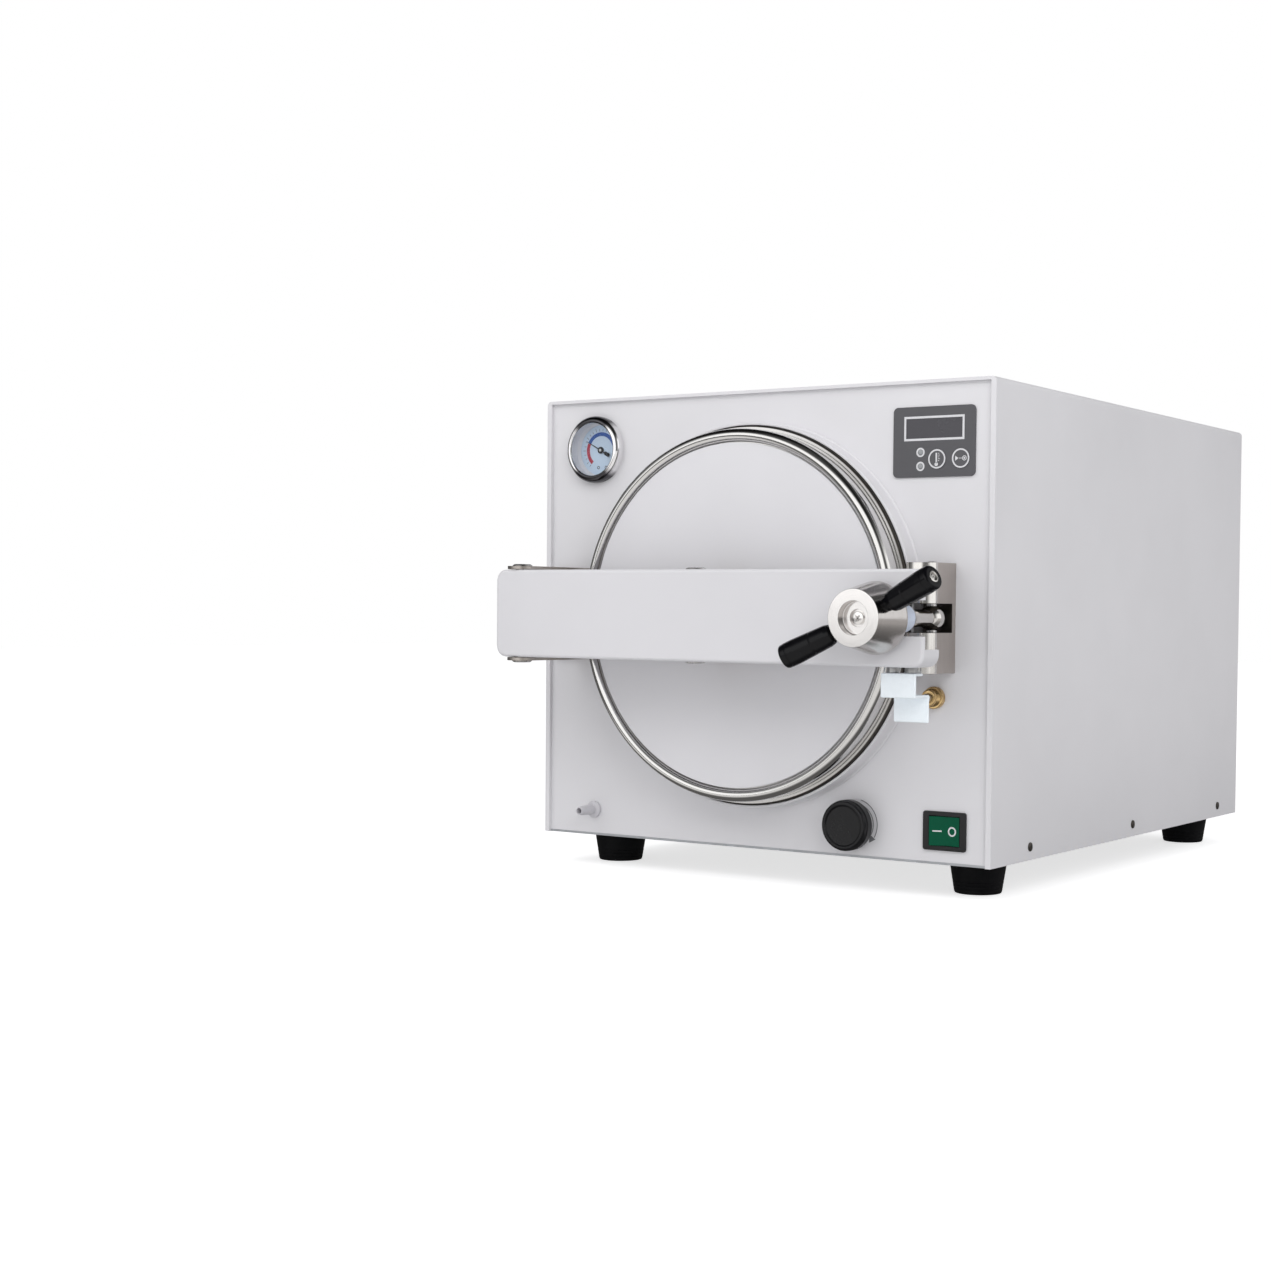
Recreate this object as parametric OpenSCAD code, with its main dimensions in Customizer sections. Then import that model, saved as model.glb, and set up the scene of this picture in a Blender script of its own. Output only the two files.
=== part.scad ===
// Benchtop autoclave with a hinged round door, a crossbar and a hand-wheel clamp.
// Millimetres. X to the right of the front, Y towards the rear, Z up, bench at Z = 0.

/* [Cabinet] */
// Width across the sides of the cover
cab_w = 430; // [415:1:460]
// Depth of the cover from front lip to rear lip
cab_d = 535; // [510:1:580]
// Height of the cover above the feet
cab_h = 371; // [364:1:400]
// Thickness of the cover and of the panels
sheet = 1.5; // [1:0.1:2]
// Thickness of the base plate
base_t = 2; // [1.5:0.1:3]
// Outer radius of the cover's top edges
corner_r = 4; // [3:0.5:8]
// Width of the cover's lip at the sides
lip_w = 4.5; // [4:0.1:6]
// Width of the cover's lip at the top
lip_top = 2.6; // [2.4:0.1:5]
// Depth of the panels behind the lip
lip_d = 3; // [2.5:0.1:4]
// Height of a foot
foot_h = 27; // [22:1:34]
// Radius of a foot at its top
foot_r = 23; // [18:0.5:24]
// Distance of a foot's centre from the cover's side
foot_in = 39; // [36:1:60]
// Radius of a side screw's head
screw_r = 4.2; // [3.5:0.1:5]
// Height of a side screw's head
screw_t = 2.2; // [1.8:0.1:3]

/* [Chamber] */
// Inner radius of the pressure vessel
chamber_r = 125; // [118:0.5:126]
// Depth of the chamber from its mouth
chamber_l = 350; // [300:5:400]
// Wall of the pressure vessel
shell_t = 2; // [1.5:0.1:2.5]
// Outer radius of the mouth flange
flange_r = 152; // [150:0.5:153.5]
// Reach of the mouth flange before the cabinet's front
flange_proj = 16.5; // [14:0.5:18]
// Radius of the mouth before it steps in to the vessel
mouth_r = 133; // [130:0.5:135]
// Thickness of the heater band
heater_t = 3; // [2:0.5:4]
// Thickness of the insulation blanket
jacket_t = 16; // [10:1:20]
// Diameter of the rack's wire
wire_d = 3.5; // [3:0.1:4]
// Depth of a tray
tray_h = 21; // [16:1:24]
// Sheet thickness of a tray
tray_t = 1.2; // [0.8:0.1:1.5]
// Radius of the holes in the trays
tray_hole_r = 4.5; // [3:0.5:6]
// Height of the upper tray's lip above the chamber's axis
tray_up = 53; // [46:1:56]
// Depth of the lower tray's lip below the chamber's axis
tray_down = 26; // [20:1:28]
// Depth of the bottom plate's top below the chamber's axis
plate_down = 97; // [92:1:100]

/* [Door] */
// Height of the door's centre above the bench
door_z = 216; // [213:1:220]
// Outer radius of the door's rim
door_r = 148.5; // [146:0.5:150]
// Depth of the door's rim
door_t = 16; // [14:0.5:18]
// Radius of the white face disc
face_r = 138; // [132:0.2:139]
// Thickness of the face disc
face_t = 3.2; // [2:0.1:4]
// Thickness of the door gasket
gasket_t = 2.2; // [1.8:0.1:3]
// Height of the crossbar
bar_h = 71; // [67:1:74]
// Depth of the crossbar
bar_d = 24; // [22:0.5:26]
// Wall of the crossbar
bar_wall = 3; // [2.5:0.1:4]
// Radius of the crossbar's corners seen from the front
bar_r = 9; // [6:0.5:11]
// Reach of the crossbar's face before the cabinet's front
bar_reach = 94.5; // [92:0.5:98]
// Distance of the crossbar's left end from the door's centre
bar_left = 191; // [189:1:196]
// Distance of the crossbar's right end from the door's centre
bar_right = 206.5; // [203:0.5:209]
// Distance of the hinge pin from the door's centre
hinge_x = 173; // [171:0.5:176]
// Radius of the hinge pin
hinge_pin_r = 5; // [4:0.1:6]
// Thickness of a hinge lug
lug_t = 2.5; // [2:0.1:6]
// Width of a hinge lug
lug_w = 24; // [20:0.5:26]
// Radius of the door's centre pivot pin
pivot_pin_r = 5; // [4:0.1:6]

/* [Clamp] */
// Distance of the clamp's axis from the door's centre
clamp_x = 172; // [169:0.5:175]
// Width of the clamp bracket
bracket_w = 25; // [21:0.5:27]
// Height of the clamp bracket
bracket_h = 83.5; // [78:0.5:90]
// Gap in the bracket for the eye
eye_gap = 21.7; // [21:0.1:24]
// Distance of the eye pin before the front panel
eye_out = 21; // [18:0.5:23]
// Radius of the ball eye
ball_r = 10; // [9:0.1:10.2]
// Radius of the eye pin
eye_pin_r = 4; // [3:0.1:5]
// Length of the eye stud from the pin
stud_l = 40; // [36:0.5:42]
// Radius of the eye stud
stud_r = 6.5; // [5.5:0.1:7]
// Radius of the threaded rod
rod_r = 6; // [5:0.1:7]
// Radius of the nylon sleeve
sleeve_r = 10.75; // [9.5:0.1:12]
// Height of the slot at the crossbar's right end
slot_h = 26; // [25:0.5:28]
// Height of the gap in the crossbar's right end wall
notch_h = 45; // [40:1:50]
// Radius of the hub's flared back
hub_r = 26.5; // [24:0.5:28]
// Radius of the hub's front face
hub_nose_r = 20.75; // [19:0.25:22]
// Length of the hub
hub_l = 33; // [31:0.5:36]
// Reach of a grip's end from the hub's axis
grip_l = 69; // [62:1:76]
// Largest radius of a grip
grip_r = 9.4; // [8.5:0.1:10]
// Angle of the grips above the horizontal
grip_a = 25.7; // [0:0.1:40]
// Angle of the grips towards the front
grip_tilt = 9.5; // [4:0.5:12]

/* [Controls] */
// Distance of the gauge's centre from the cover's left side
gauge_in = 52; // [46:0.1:56]
// Distance of the gauge's centre below the cover's top
gauge_down = 42.7; // [39:0.1:47]
// Outer radius of the gauge bezel
gauge_r = 28.2; // [25:0.1:29]
// Distance of the overlay's centre from the cover's right side
overlay_in = 53.5; // [52:0.5:58]
// Distance of the overlay's centre below the cover's top
overlay_down = 47.3; // [44:0.1:50]
// Width of the control overlay
overlay_w = 71; // [69:0.5:76]
// Height of the control overlay
overlay_h = 54; // [52:0.5:58]
// Thickness of the control overlay
overlay_t = 1.2; // [1:0.1:1.5]
// Radius of a key
key_r = 7.5; // [6.5:0.1:8]
// Travel of a key
key_travel = 0.5; // [0.3:0.1:0.8]
// Distance of the power switch from the cover's right side
switch_in = 40.2; // [36:0.1:46]
// Height of the power switch above the cover's bottom
switch_up = 26; // [24:0.5:30]
// Width of the switch frame
switch_w = 37; // [35:0.5:40]
// Height of the switch frame
switch_h = 30; // [28:0.5:32]
// Distance of the vent knob right of the door's centre
knob_x = 95.5; // [90:0.1:106]
// Height of the vent knob above the cover's bottom
knob_up = 26.5; // [25:0.5:32]
// Radius of the vent knob
knob_r = 20; // [17:0.5:22]
// Length of the vent knob
knob_l = 20.5; // [18:0.5:32]
// Distance of the drain spigot from the cover's left side
spigot_in = 52; // [46:0.5:60]
// Height of the drain spigot above the cover's bottom
spigot_up = 22; // [20:0.5:26]
// Outer radius of the drain spigot
spigot_r = 4; // [3.5:0.1:4.5]
// Reach of the drain spigot before the panel
spigot_l = 22; // [18:1:36]
// Distance of the interlock plunger right of the door's centre
plunger_x = 165; // [162:0.5:168]
// Distance of the interlock plunger below the door's centre
plunger_down = 61; // [58:0.5:64]
// Radius of the interlock plunger
plunger_r = 3.5; // [3:0.1:4]

/* [Rear] */
// Distance of the mains inlet from the cover's right side
inlet_in = 65; // [55:1:80]
// Height of the rear fittings above the cover's bottom
rear_up = 40; // [34:1:60]
// Radius of the safety valve's body
valve_r = 9; // [8:0.5:11]
// Reach of the pull ring behind the rear panel
ring_reach = 46; // [42:1:54]

/* [Fits] */
// Gap between pieces that move past each other
gap = 0.3; // [0.25:0.05:0.4]
// Radial clearance of a pin in its bore
run = 0.05; // [0.03:0.01:0.08]

/* [Hidden] */
$fn = 64;

// Cabinet planes
front = -cab_d / 2;
rear = cab_d / 2;
panel_y = front + lip_d;
panel_in = panel_y + sheet;
rear_y = rear - lip_d;
rear_in = rear_y - sheet;
base_z = foot_h;
floor_z = base_z + base_t;
top_z = base_z + cab_h;
in_x = cab_w / 2 - sheet;
in_z = top_z - sheet;

// Chamber axis, which keeps its place when the height differs from the usual one
usual_h = 371;
axis_z = door_z + (cab_h - usual_h) / 2;

// Base, feet and side screws
flange_up = 20;
screw_up = 10.6;
screw_shank_r = 2;
screw_shank_l = 7;
screw_ys = [front + 69, 8, rear - 51];
foot_x = cab_w / 2 - foot_in;
foot_ys = [front + 57.5, rear - 38];
foot_recess = 6;
foot_recess_r = 7;
vent_l = 60;
vent_w = 5;
vent_pitch = 12;

// Chamber
mouth_y = front - flange_proj;
mouth_depth = 10;
flange_back = panel_in + 5;
flange_ledge = 2;
seat_y = mouth_y + mouth_depth + flange_ledge;
hole_gap = 0.4;
shell_r = chamber_r + shell_t;
vessel_back = mouth_y + chamber_l;
end_t = 3;
knuckle = 15;
saddle_t = 4;
saddle_w = 220;
saddle_down = 66;
saddle_front = 63;
saddle_rear = 36;
saddle_ys = [flange_back + saddle_front, vessel_back - saddle_rear];
heater_in = 8;
jacket_r = shell_r + heater_t + jacket_t;
steam_port = [55, 75];
gauge_port = [0, 84];
safety_port = [-25, 75];
probe_at = [[-64, 66], [-50, 76]];
probe_r = 3;
probe_l = 67;
probe_nut = 14;
port_r = 4;

// Rack and trays
wire_r = wire_d / 2;
rack_y0 = mouth_y + 26;
rack_y1 = vessel_back - knuckle - 3;
rack_x = chamber_r - 15.5;
bead_r = wire_r + 0.3;
rack_foot = sqrt(pow(chamber_r - bead_r - run, 2) - pow(rack_x, 2));
arch_r = chamber_r - 7;
arch_z = sqrt(arch_r * arch_r - rack_x * rack_x);
arch_a = atan2(arch_z, rack_x);
rail_x = rack_x - 3;
tray_lip_x = rack_x - wire_r - gap;
tray_x = rail_x - wire_r - 0.75;
tray_lip = 4;
tray_y0 = rack_y0 + 12;
tray_y1 = rack_y1 - 6;
tray_pitch = 34;
plate_t = 1.5;
plate_lip = 9;

// Door
dish_back = mouth_y - gap - gasket_t;
rim_front = dish_back - door_t;
dish_web = 10;
face_front = dish_back - dish_web - face_t;
gasket_w = 10;
bar_front = front - bar_reach;
bar_back = bar_front + bar_d;
bar_mid = bar_front + bar_d / 2;
bar_lo = axis_z - bar_h / 2;
bar_hi = axis_z + bar_h / 2;
hinge_block = 36;
boss_w = 36;
boss_in = 3;
pin_head_t = 1.6;
pin_head_r = 8;
lug_gap = 0.5;
hinge_edge = 5.5;
hinge_plate_x = cab_w / 2 - lip_w - hinge_edge;
hinge_plate_t = 4;

// Clamp
eye_y = panel_y - eye_out;
web_t = 6;
bracket_x = clamp_x - 3;
trim_r = flange_r + hole_gap + 2;
trim_foot = min(trim_r + 1.2, bracket_x - bracket_w / 2 - 0.5);
trim_h = panel_y - mouth_y - 3;
nose_y = eye_y - 9;
sleeve_flange_t = 2;
sleeve_flange_r = 15;
sleeve_front = bar_front - sleeve_flange_t - 3.5;
washer_t = 1.7;
washer_r = 12.5;
washer_front = sleeve_front - gap - washer_t;
hub_back = washer_front - gap;
hub_front = hub_back - hub_l;
hub_recess = 6.5;
hub_recess_r = 12.5;
hub_bore = 24;
rod_back = eye_y - stud_l - gap;
rod_front = hub_back - 20;
collar_r = 9;
collar_t = 4.2;
grip_y = hub_back - 16;
grip_root = 13;
grip_root_r = 5.4;
grip_end_r = 8.6;
grip_screw_r = 4.5;
grip_recess = 2;
plate_x0 = 166;
plate_x1 = 195;
plate_y = bar_front + 10;
plate_step = 20;
plate_drop = 20.5;
plate_sheet = 2;

// Controls
gauge_x = -cab_w / 2 + gauge_in;
gauge_z = top_z - gauge_down;
case_r = gauge_r - 3.5;
case_l = 32;
dial_front = -5.5;
overlay_z = top_z - overlay_down;
overlay_clear = 3;
overlay_low = overlay_z - overlay_h / 2 - axis_z;
overlay_near = sqrt(max(0, pow(flange_r + hole_gap + overlay_clear, 2) - pow(overlay_low, 2)));
overlay_x = max(cab_w / 2 - overlay_in, overlay_near + overlay_w / 2);
display_w = 51.5;
display_h = 18;
display_dz = 10.8;
key_z = overlay_z - 13.3;
key_xs = [overlay_x + 2.9, overlay_x + 23.3];
key_t = 1.1;
key_proud = 0.5;
stem_r = 2;
lamp_x = overlay_x - 11.5;
lamp_zs = [overlay_z - 7.9, overlay_z - 18.6];
lamp_r = 2.2;
board_gap = 8;
board_t = 1.6;
post_r = 3;
switch_x = cab_w / 2 - switch_in;
switch_z = base_z + switch_up;
switch_t = 2;
switch_body_w = switch_w - 4;
switch_body_h = switch_h - 4;
switch_body_l = 24;
rocker_w = switch_body_w - 8.4;
rocker_h = switch_body_h - 3.6;
rocker_tilt = 7;
rocker_y = panel_y + 2;
trunnion_r = 1.5;
knob_z = base_z + knob_up;
spindle_r = 4;
spindle_l = knob_l - 7.5;
valve_w = 24;
valve_l = 30;
spigot_x = -cab_w / 2 + spigot_in;
spigot_z = base_z + spigot_up;
spigot_tail = 22;
plunger_z = axis_z - plunger_down;
bush_l = 12;
bush_r = 7.5;
plunger_proud = 5;

// Rear fittings and pipes
inlet_x = cab_w / 2 - inlet_in;
rear_z = base_z + rear_up;
fuse_r = 6.5;
fuse_l = 11;
fuse_tail = 28;
fuse_xs = [inlet_x - 48, inlet_x - 70];
pipe_r = 3;
pipe_z = knob_z;
safety_x = safety_port[0];
safety_z = axis_z + safety_port[1];
bonnet_l = 24;
ring_r = 9;
ring_wire = 1.5;
core_in = 40;
core_rear = 130;
core_w = 66;
core_d = 30;
core_h = 56;
coil_in = 8;
coil_out = 12;
core_foot = 10;

// Middle of the overall length and width, which is the origin
grip_cos = cos(grip_a) * cos(grip_tilt);
reach_x = clamp_x + grip_l * grip_cos + grip_end_r * sqrt(1 - grip_cos * grip_cos);
reach_y = grip_y - grip_l * sin(grip_tilt) - grip_end_r * cos(grip_tilt);
mid_x = (reach_x - cab_w / 2 - screw_t) / 2;
mid_y = (min(reach_y, hub_front) + rear_y + ring_reach) / 2;

// Moves a piece from the cabinet's middle to the overall middle.
module placed() {
    translate([-mid_x, -mid_y, 0]) children();
}

// Extrudes an outline drawn in X and Z from y0 back to y1.
module slab(y0, y1) {
    translate([0, y1, 0]) rotate([90, 0, 0]) linear_extrude(y1 - y0) children();
}

module rod_x(y, z, x0, x1, r) {
    translate([x0, y, z]) rotate([0, 90, 0]) cylinder(h = x1 - x0, r = r);
}

module rod_y(x, z, y0, y1, r) {
    translate([x, y1, z]) rotate([90, 0, 0]) cylinder(h = y1 - y0, r = r);
}

module rod_z(x, y, z0, z1, r) {
    translate([x, y, z0]) cylinder(h = z1 - z0, r = r);
}

module block(lo, hi) {
    translate(lo) cube(hi - lo);
}

// Turns a profile of [radius, distance towards the front] about an axis along Y.
module turned(x, y, z, pts) {
    translate([x, y, z]) rotate([90, 0, 0]) rotate_extrude() polygon(pts);
}

// The same with the distance towards the rear.
module turned_back(x, y, z, pts) {
    translate([x, y, z]) rotate([-90, 0, 0]) rotate_extrude() polygon(pts);
}

// Rectangle with round corners about its centre.
module rounded(w, h, r) {
    square([w - 2 * r, h], center = true);
    square([w, h - 2 * r], center = true);
    for (sx = [-1, 1], sz = [-1, 1])
        translate([sx * (w / 2 - r), sz * (h / 2 - r)]) circle(r);
}

// Straight tube between two points.
module tube(a, b, r) {
    d = b - a;
    translate(a) rotate([0, acos(d[2] / norm(d)), atan2(d[1], d[0])]) cylinder(h = norm(d), r = r);
}

// Tubes along a route, with a round elbow fitting at each turn.
module route(pts, r) {
    for (i = [0:len(pts) - 2]) tube(pts[i], pts[i + 1], r);
    for (i = [1:len(pts) - 2]) translate(pts[i]) sphere(r * 1.4);
}

// Outline of the cover, set in by an amount and carried below its bottom.
module cover_outline(inset, drop) {
    r = corner_r - inset;
    w = cab_w / 2 - inset;
    h = cab_h - inset + drop;
    translate([-w, base_z - drop]) square([2 * w, h - r]);
    translate([r - w, base_z - drop]) square([2 * (w - r), h]);
    for (s = [-1, 1]) translate([s * (w - r), top_z - inset - r]) circle(r);
}

module cover_lip(y0, y1) {
    slab(y0, y1) difference() {
        cover_outline(0, 0);
        translate([lip_w - cab_w / 2, base_z - 1]) square([cab_w - 2 * lip_w, cab_h - lip_top + 1]);
    }
}

module outer_cover() placed() color([0.82, 0.83, 0.84]) difference() {
    union() {
        slab(front, rear) difference() {
            cover_outline(0, 0);
            cover_outline(sheet, 1);
        }
        cover_lip(front, panel_y);
        cover_lip(rear_y, rear);
    }
    for (y = screw_ys) rod_x(y, base_z + screw_up, -cab_w, cab_w, screw_shank_r + run);
}

module front_panel() placed() color([0.87, 0.88, 0.89]) slab(panel_y, panel_in) difference() {
    translate([-in_x, floor_z]) square([2 * in_x, in_z - floor_z]);
    translate([0, axis_z]) circle(flange_r + hole_gap);
    translate([gauge_x, gauge_z]) circle(case_r + gap);
    translate([overlay_x, overlay_z + display_dz]) square([display_w - 6, display_h - 4], center = true);
    for (x = key_xs) translate([x, key_z]) circle(stem_r + gap);
    translate([switch_x, switch_z]) square([switch_body_w + 0.4, switch_body_h + 0.4], center = true);
    translate([knob_x, knob_z]) circle(spindle_r + 1);
    translate([spigot_x, spigot_z]) circle(spigot_r + gap);
    translate([plunger_x, plunger_z]) circle(bush_r - 1.2);
}

module rear_panel() placed() color([0.78, 0.79, 0.80]) slab(rear_in, rear_y) difference() {
    translate([-in_x, floor_z]) square([2 * in_x, in_z - floor_z]);
    translate([inlet_x, rear_z]) square([28.4, 21.4], center = true);
    for (x = fuse_xs) translate([x, rear_z]) circle(fuse_r - 0.8);
    translate([safety_x, safety_z]) circle(valve_r - 2 + gap);
    for (s = [-1, 1], i = [0:5])
        translate([s * (in_x - 70), in_z - 50 - i * vent_pitch]) square([vent_l, vent_w], center = true);
}

module base_plate() placed() color([0.70, 0.71, 0.72]) difference() {
    union() {
        block([-in_x, panel_y, base_z], [in_x, rear_y, floor_z]);
        for (s = [-1, 1])
            translate([s * (in_x - sheet / 2), 0, floor_z + flange_up / 2])
                cube([sheet, rear_in - panel_in - 16, flange_up], center = true);
    }
    for (y = screw_ys) rod_x(y, base_z + screw_up, -cab_w, cab_w, screw_shank_r + run);
    for (s = [-1, 1], i = [0:5])
        translate([s * 70, i * vent_pitch, base_z]) cube([vent_l, vent_w, 3 * base_t], center = true);
}

module rubber_feet() placed() color([0.06, 0.06, 0.07])
    for (s = [-1, 1], y = foot_ys) translate([s * foot_x, y, 0]) rotate_extrude() polygon([
        [foot_recess_r, 0], [foot_r - 5, 0], [foot_r - 4.2, 0.8], [foot_r, foot_h],
        [0, foot_h], [0, foot_recess], [foot_recess_r, foot_recess]
    ]);

module side_screws() placed() color([0.80, 0.80, 0.82])
    for (s = [-1, 1], y = screw_ys)
        translate([s * cab_w / 2, y, base_z + screw_up]) rotate([0, s * 90, 0]) rotate_extrude() polygon([
            [0, -screw_shank_l], [screw_shank_r, -screw_shank_l], [screw_shank_r, 0], [screw_r, 0],
            [screw_r, screw_t * 0.35], [screw_r * 0.72, screw_t * 0.88], [screw_r * 0.35, screw_t],
            [0, screw_t]
        ]);

module pressure_vessel() placed() color([0.76, 0.77, 0.78]) difference() {
    turned(0, vessel_back, axis_z, [
        [0, 0], [chamber_r - knuckle, 0], [chamber_r - 0.3 * knuckle, 0.3 * knuckle], [chamber_r, knuckle],
        [chamber_r, vessel_back - seat_y], [shell_r, vessel_back - seat_y], [shell_r, knuckle - 1],
        [shell_r - 0.3 * knuckle, 0.3 * knuckle - end_t], [shell_r - knuckle, -end_t], [0, -end_t]
    ]);
    for (p = [steam_port, gauge_port, safety_port])
        rod_y(p[0], axis_z + p[1], vessel_back - 1, vessel_back + end_t + 1, port_r);
    for (p = probe_at)
        rod_y(p[0], axis_z + p[1], vessel_back - 1, vessel_back + end_t + 1, probe_r + run);
}

// Painted ring that covers the edge of the panel's hole, round the side of the flange.
module mouth_trim() placed() color([0.87, 0.88, 0.89])
    turned(0, panel_y, axis_z, [
        [flange_r + hole_gap, 0], [trim_foot, 0], [trim_foot, 0.6], [trim_r, 2.2],
        [trim_r, trim_h - 0.6], [trim_r - 0.6, trim_h], [flange_r + hole_gap, trim_h]
    ]);

module chamber_flange() placed() color([0.80, 0.81, 0.82])
    turned(0, flange_back, axis_z, [
        [shell_r, 0], [flange_r, 0], [flange_r, flange_back - mouth_y - 1.5],
        [flange_r - 1.5, flange_back - mouth_y], [mouth_r, flange_back - mouth_y],
        [mouth_r, flange_back - mouth_y - mouth_depth], [chamber_r, flange_back - mouth_y - mouth_depth],
        [chamber_r, flange_back - seat_y], [shell_r, flange_back - seat_y]
    ]);

module vessel_saddles() placed() color([0.62, 0.63, 0.65])
    for (y = saddle_ys) slab(y, y + saddle_t) difference() {
        translate([-saddle_w / 2, floor_z]) square([saddle_w, axis_z - saddle_down - floor_z]);
        translate([0, axis_z]) circle(shell_r);
    }

module heater_band() placed() color([0.55, 0.50, 0.45])
    slab(saddle_ys[0] + saddle_t + heater_in, saddle_ys[1] - heater_in) translate([0, axis_z]) intersection() {
        difference() {
            circle(shell_r + heater_t);
            circle(shell_r);
        }
        polygon([[0, 0], [-shell_r * 1.5, -shell_r * 1.3], [shell_r * 1.5, -shell_r * 1.3]]);
    }

module insulation() placed() color([0.90, 0.88, 0.80])
    slab(saddle_ys[0] + saddle_t, saddle_ys[1]) translate([0, axis_z]) difference() {
        circle(jacket_r);
        circle(shell_r + heater_t);
    }

module bottom_plate() placed() color([0.74, 0.75, 0.76]) difference() {
    intersection() {
        union() {
            block([-chamber_r, rack_y0, axis_z - plate_down - plate_t],
                [chamber_r, rack_y1, axis_z - plate_down]);
            block([-chamber_r, rack_y0, axis_z - plate_down - plate_lip],
                [chamber_r, rack_y0 + plate_t, axis_z - plate_down]);
        }
        rod_y(0, axis_z, rack_y0 - 1, rack_y1 + 1, chamber_r);
    }
    for (i = [-2:2], y = [rack_y0 + 24:32:rack_y1 - 12])
        rod_z(i * 26, y, axis_z - plate_down - 2 * plate_t, axis_z, tray_hole_r);
}

// Round end frame of the rack, at one place along the chamber.
module rack_frame(y) {
    for (s = [-1, 1]) rod_z(s * rack_x, y, axis_z - rack_foot, axis_z + arch_z, wire_r);
    for (s = [-1, 1], z = [-rack_foot, arch_z]) translate([s * rack_x, y, axis_z + z]) sphere(bead_r);
    rod_x(y, axis_z - rack_foot, -rack_x, rack_x, wire_r);
    translate([0, y, axis_z]) rotate([90, 0, 0]) rotate([0, 0, arch_a])
        rotate_extrude(angle = 180 - 2 * arch_a) translate([arch_r, 0]) circle(wire_r);
}

module tray_rack() placed() color([0.72, 0.73, 0.75]) {
    rack_frame(rack_y0);
    rack_frame(rack_y1);
    for (s = [-1, 1]) {
        for (z = [tray_up, -tray_down])
            rod_y(s * rail_x, axis_z + z - tray_t - wire_r, rack_y0, rack_y1, wire_r);
        rod_y(s * (rack_x - 1), axis_z - rack_foot + 1, rack_y0, rack_y1, wire_r);
    }
}

// Perforated tray that hangs by its lip, with the top of the lip at a height over the chamber's axis.
module tray(z) {
    hi = axis_z + z;
    difference() {
        union() {
            block([-tray_x, tray_y0 + tray_lip, hi - tray_h], [tray_x, tray_y1 - tray_lip, hi]);
            block([-tray_lip_x, tray_y0, hi - tray_t], [tray_lip_x, tray_y1, hi]);
        }
        block([tray_t - tray_x, tray_y0 + tray_lip + tray_t, hi - tray_h + tray_t],
            [tray_x - tray_t, tray_y1 - tray_lip - tray_t, hi + 1]);
        for (i = [-2:2], y = [tray_y0 + 24:tray_pitch:tray_y1 - 20])
            rod_z(i * tray_pitch, y, hi - tray_h - 1, hi, tray_hole_r);
    }
}

module tray_upper() placed() color([0.75, 0.76, 0.78]) tray(tray_up);

module tray_lower() placed() color([0.75, 0.76, 0.78]) tray(-tray_down);

module probe_sheaths() placed() color([0.70, 0.70, 0.72])
    for (p = probe_at) turned(p[0], vessel_back, axis_z + p[1], [
        [0, -end_t - probe_nut], [2 * probe_r, -end_t - probe_nut], [2 * probe_r, -end_t], [probe_r, -end_t],
        [probe_r, probe_l - probe_r], [probe_r * 0.7, probe_l - 0.3 * probe_r], [0, probe_l]
    ]);

module gauge_case() placed() color([0.20, 0.20, 0.22]) difference() {
    turned(gauge_x, panel_y, gauge_z, [
        [0, -case_l - 14], [6, -case_l - 14], [6, -case_l], [case_r - 2, -case_l], [case_r, -case_l + 2],
        [case_r, 5.7], [case_r - 1.2, 5.7], [case_r - 1.2, dial_front - 0.6], [0, dial_front - 0.6]
    ]);
    rod_y(gauge_x, gauge_z, panel_y - dial_front, panel_y - dial_front + 4, 0.8 + run);
}

module gauge_bezel() placed() color([0.78, 0.79, 0.80])
    turned(gauge_x, panel_y, gauge_z, [
        [case_r, 0], [gauge_r, 0], [gauge_r, 5], [gauge_r - 0.7, 7], [gauge_r - 2, 8.3], [gauge_r - 3.4, 8.7],
        [case_r - 1.2, 8.4], [case_r - 2.5, 7.8], [case_r - 2.5, 7.5], [case_r + 0.8, 7.5], [case_r + 0.8, 6],
        [case_r, 6]
    ]);

module gauge_dial() placed() color([0.88, 0.90, 0.90]) difference() {
    rod_y(gauge_x, gauge_z, panel_y - dial_front, panel_y - dial_front + 0.6, case_r - 1.4);
    rod_y(gauge_x, gauge_z, panel_y - dial_front - 1, panel_y - dial_front + 1, 0.8 + run);
}

module gauge_needle() placed() color([0.05, 0.05, 0.06]) {
    turned(gauge_x, panel_y - dial_front, gauge_z, [
        [0, -2], [0.8, -2], [0.8, gap], [2.4, gap], [2.4, 1.6], [1.6, 2], [0, 2]
    ]);
    slab(panel_y - dial_front - 1.3, panel_y - dial_front - 0.7) translate([gauge_x, gauge_z]) rotate(152)
        polygon([[-8, -1.3], [-8, 1.3], [0, 0.9], [case_r - 7, 0.2], [case_r - 7, -0.2], [0, -0.9]]);
}

module gauge_glass() placed() color([0.85, 0.92, 0.95, 0.3])
    rod_y(gauge_x, gauge_z, panel_y - 7.5, panel_y - 6, case_r + 0.8);

module control_overlay() placed() color([0.32, 0.32, 0.34])
    slab(panel_y - overlay_t, panel_y) difference() {
        translate([overlay_x, overlay_z]) rounded(overlay_w, overlay_h, 4);
        translate([overlay_x, overlay_z + display_dz]) square([display_w, display_h], center = true);
        for (x = key_xs) translate([x, key_z]) circle(key_r + 2 * run);
        for (z = lamp_zs) translate([lamp_x, z]) circle(lamp_r);
    }

module display_window() placed() color([0.10, 0.10, 0.12])
    slab(panel_y - overlay_t + 0.2, panel_y)
        translate([overlay_x, overlay_z + display_dz]) square([display_w, display_h], center = true);

// Round key on a stem that runs through the panel to its switch.
module key(x) {
    y0 = panel_y - overlay_t - key_proud;
    rod_y(x, key_z, y0, y0 + key_t, key_r);
    rod_y(x, key_z, y0 + key_t, panel_in + board_gap - 3 - key_travel - gap, stem_r);
}

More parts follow.
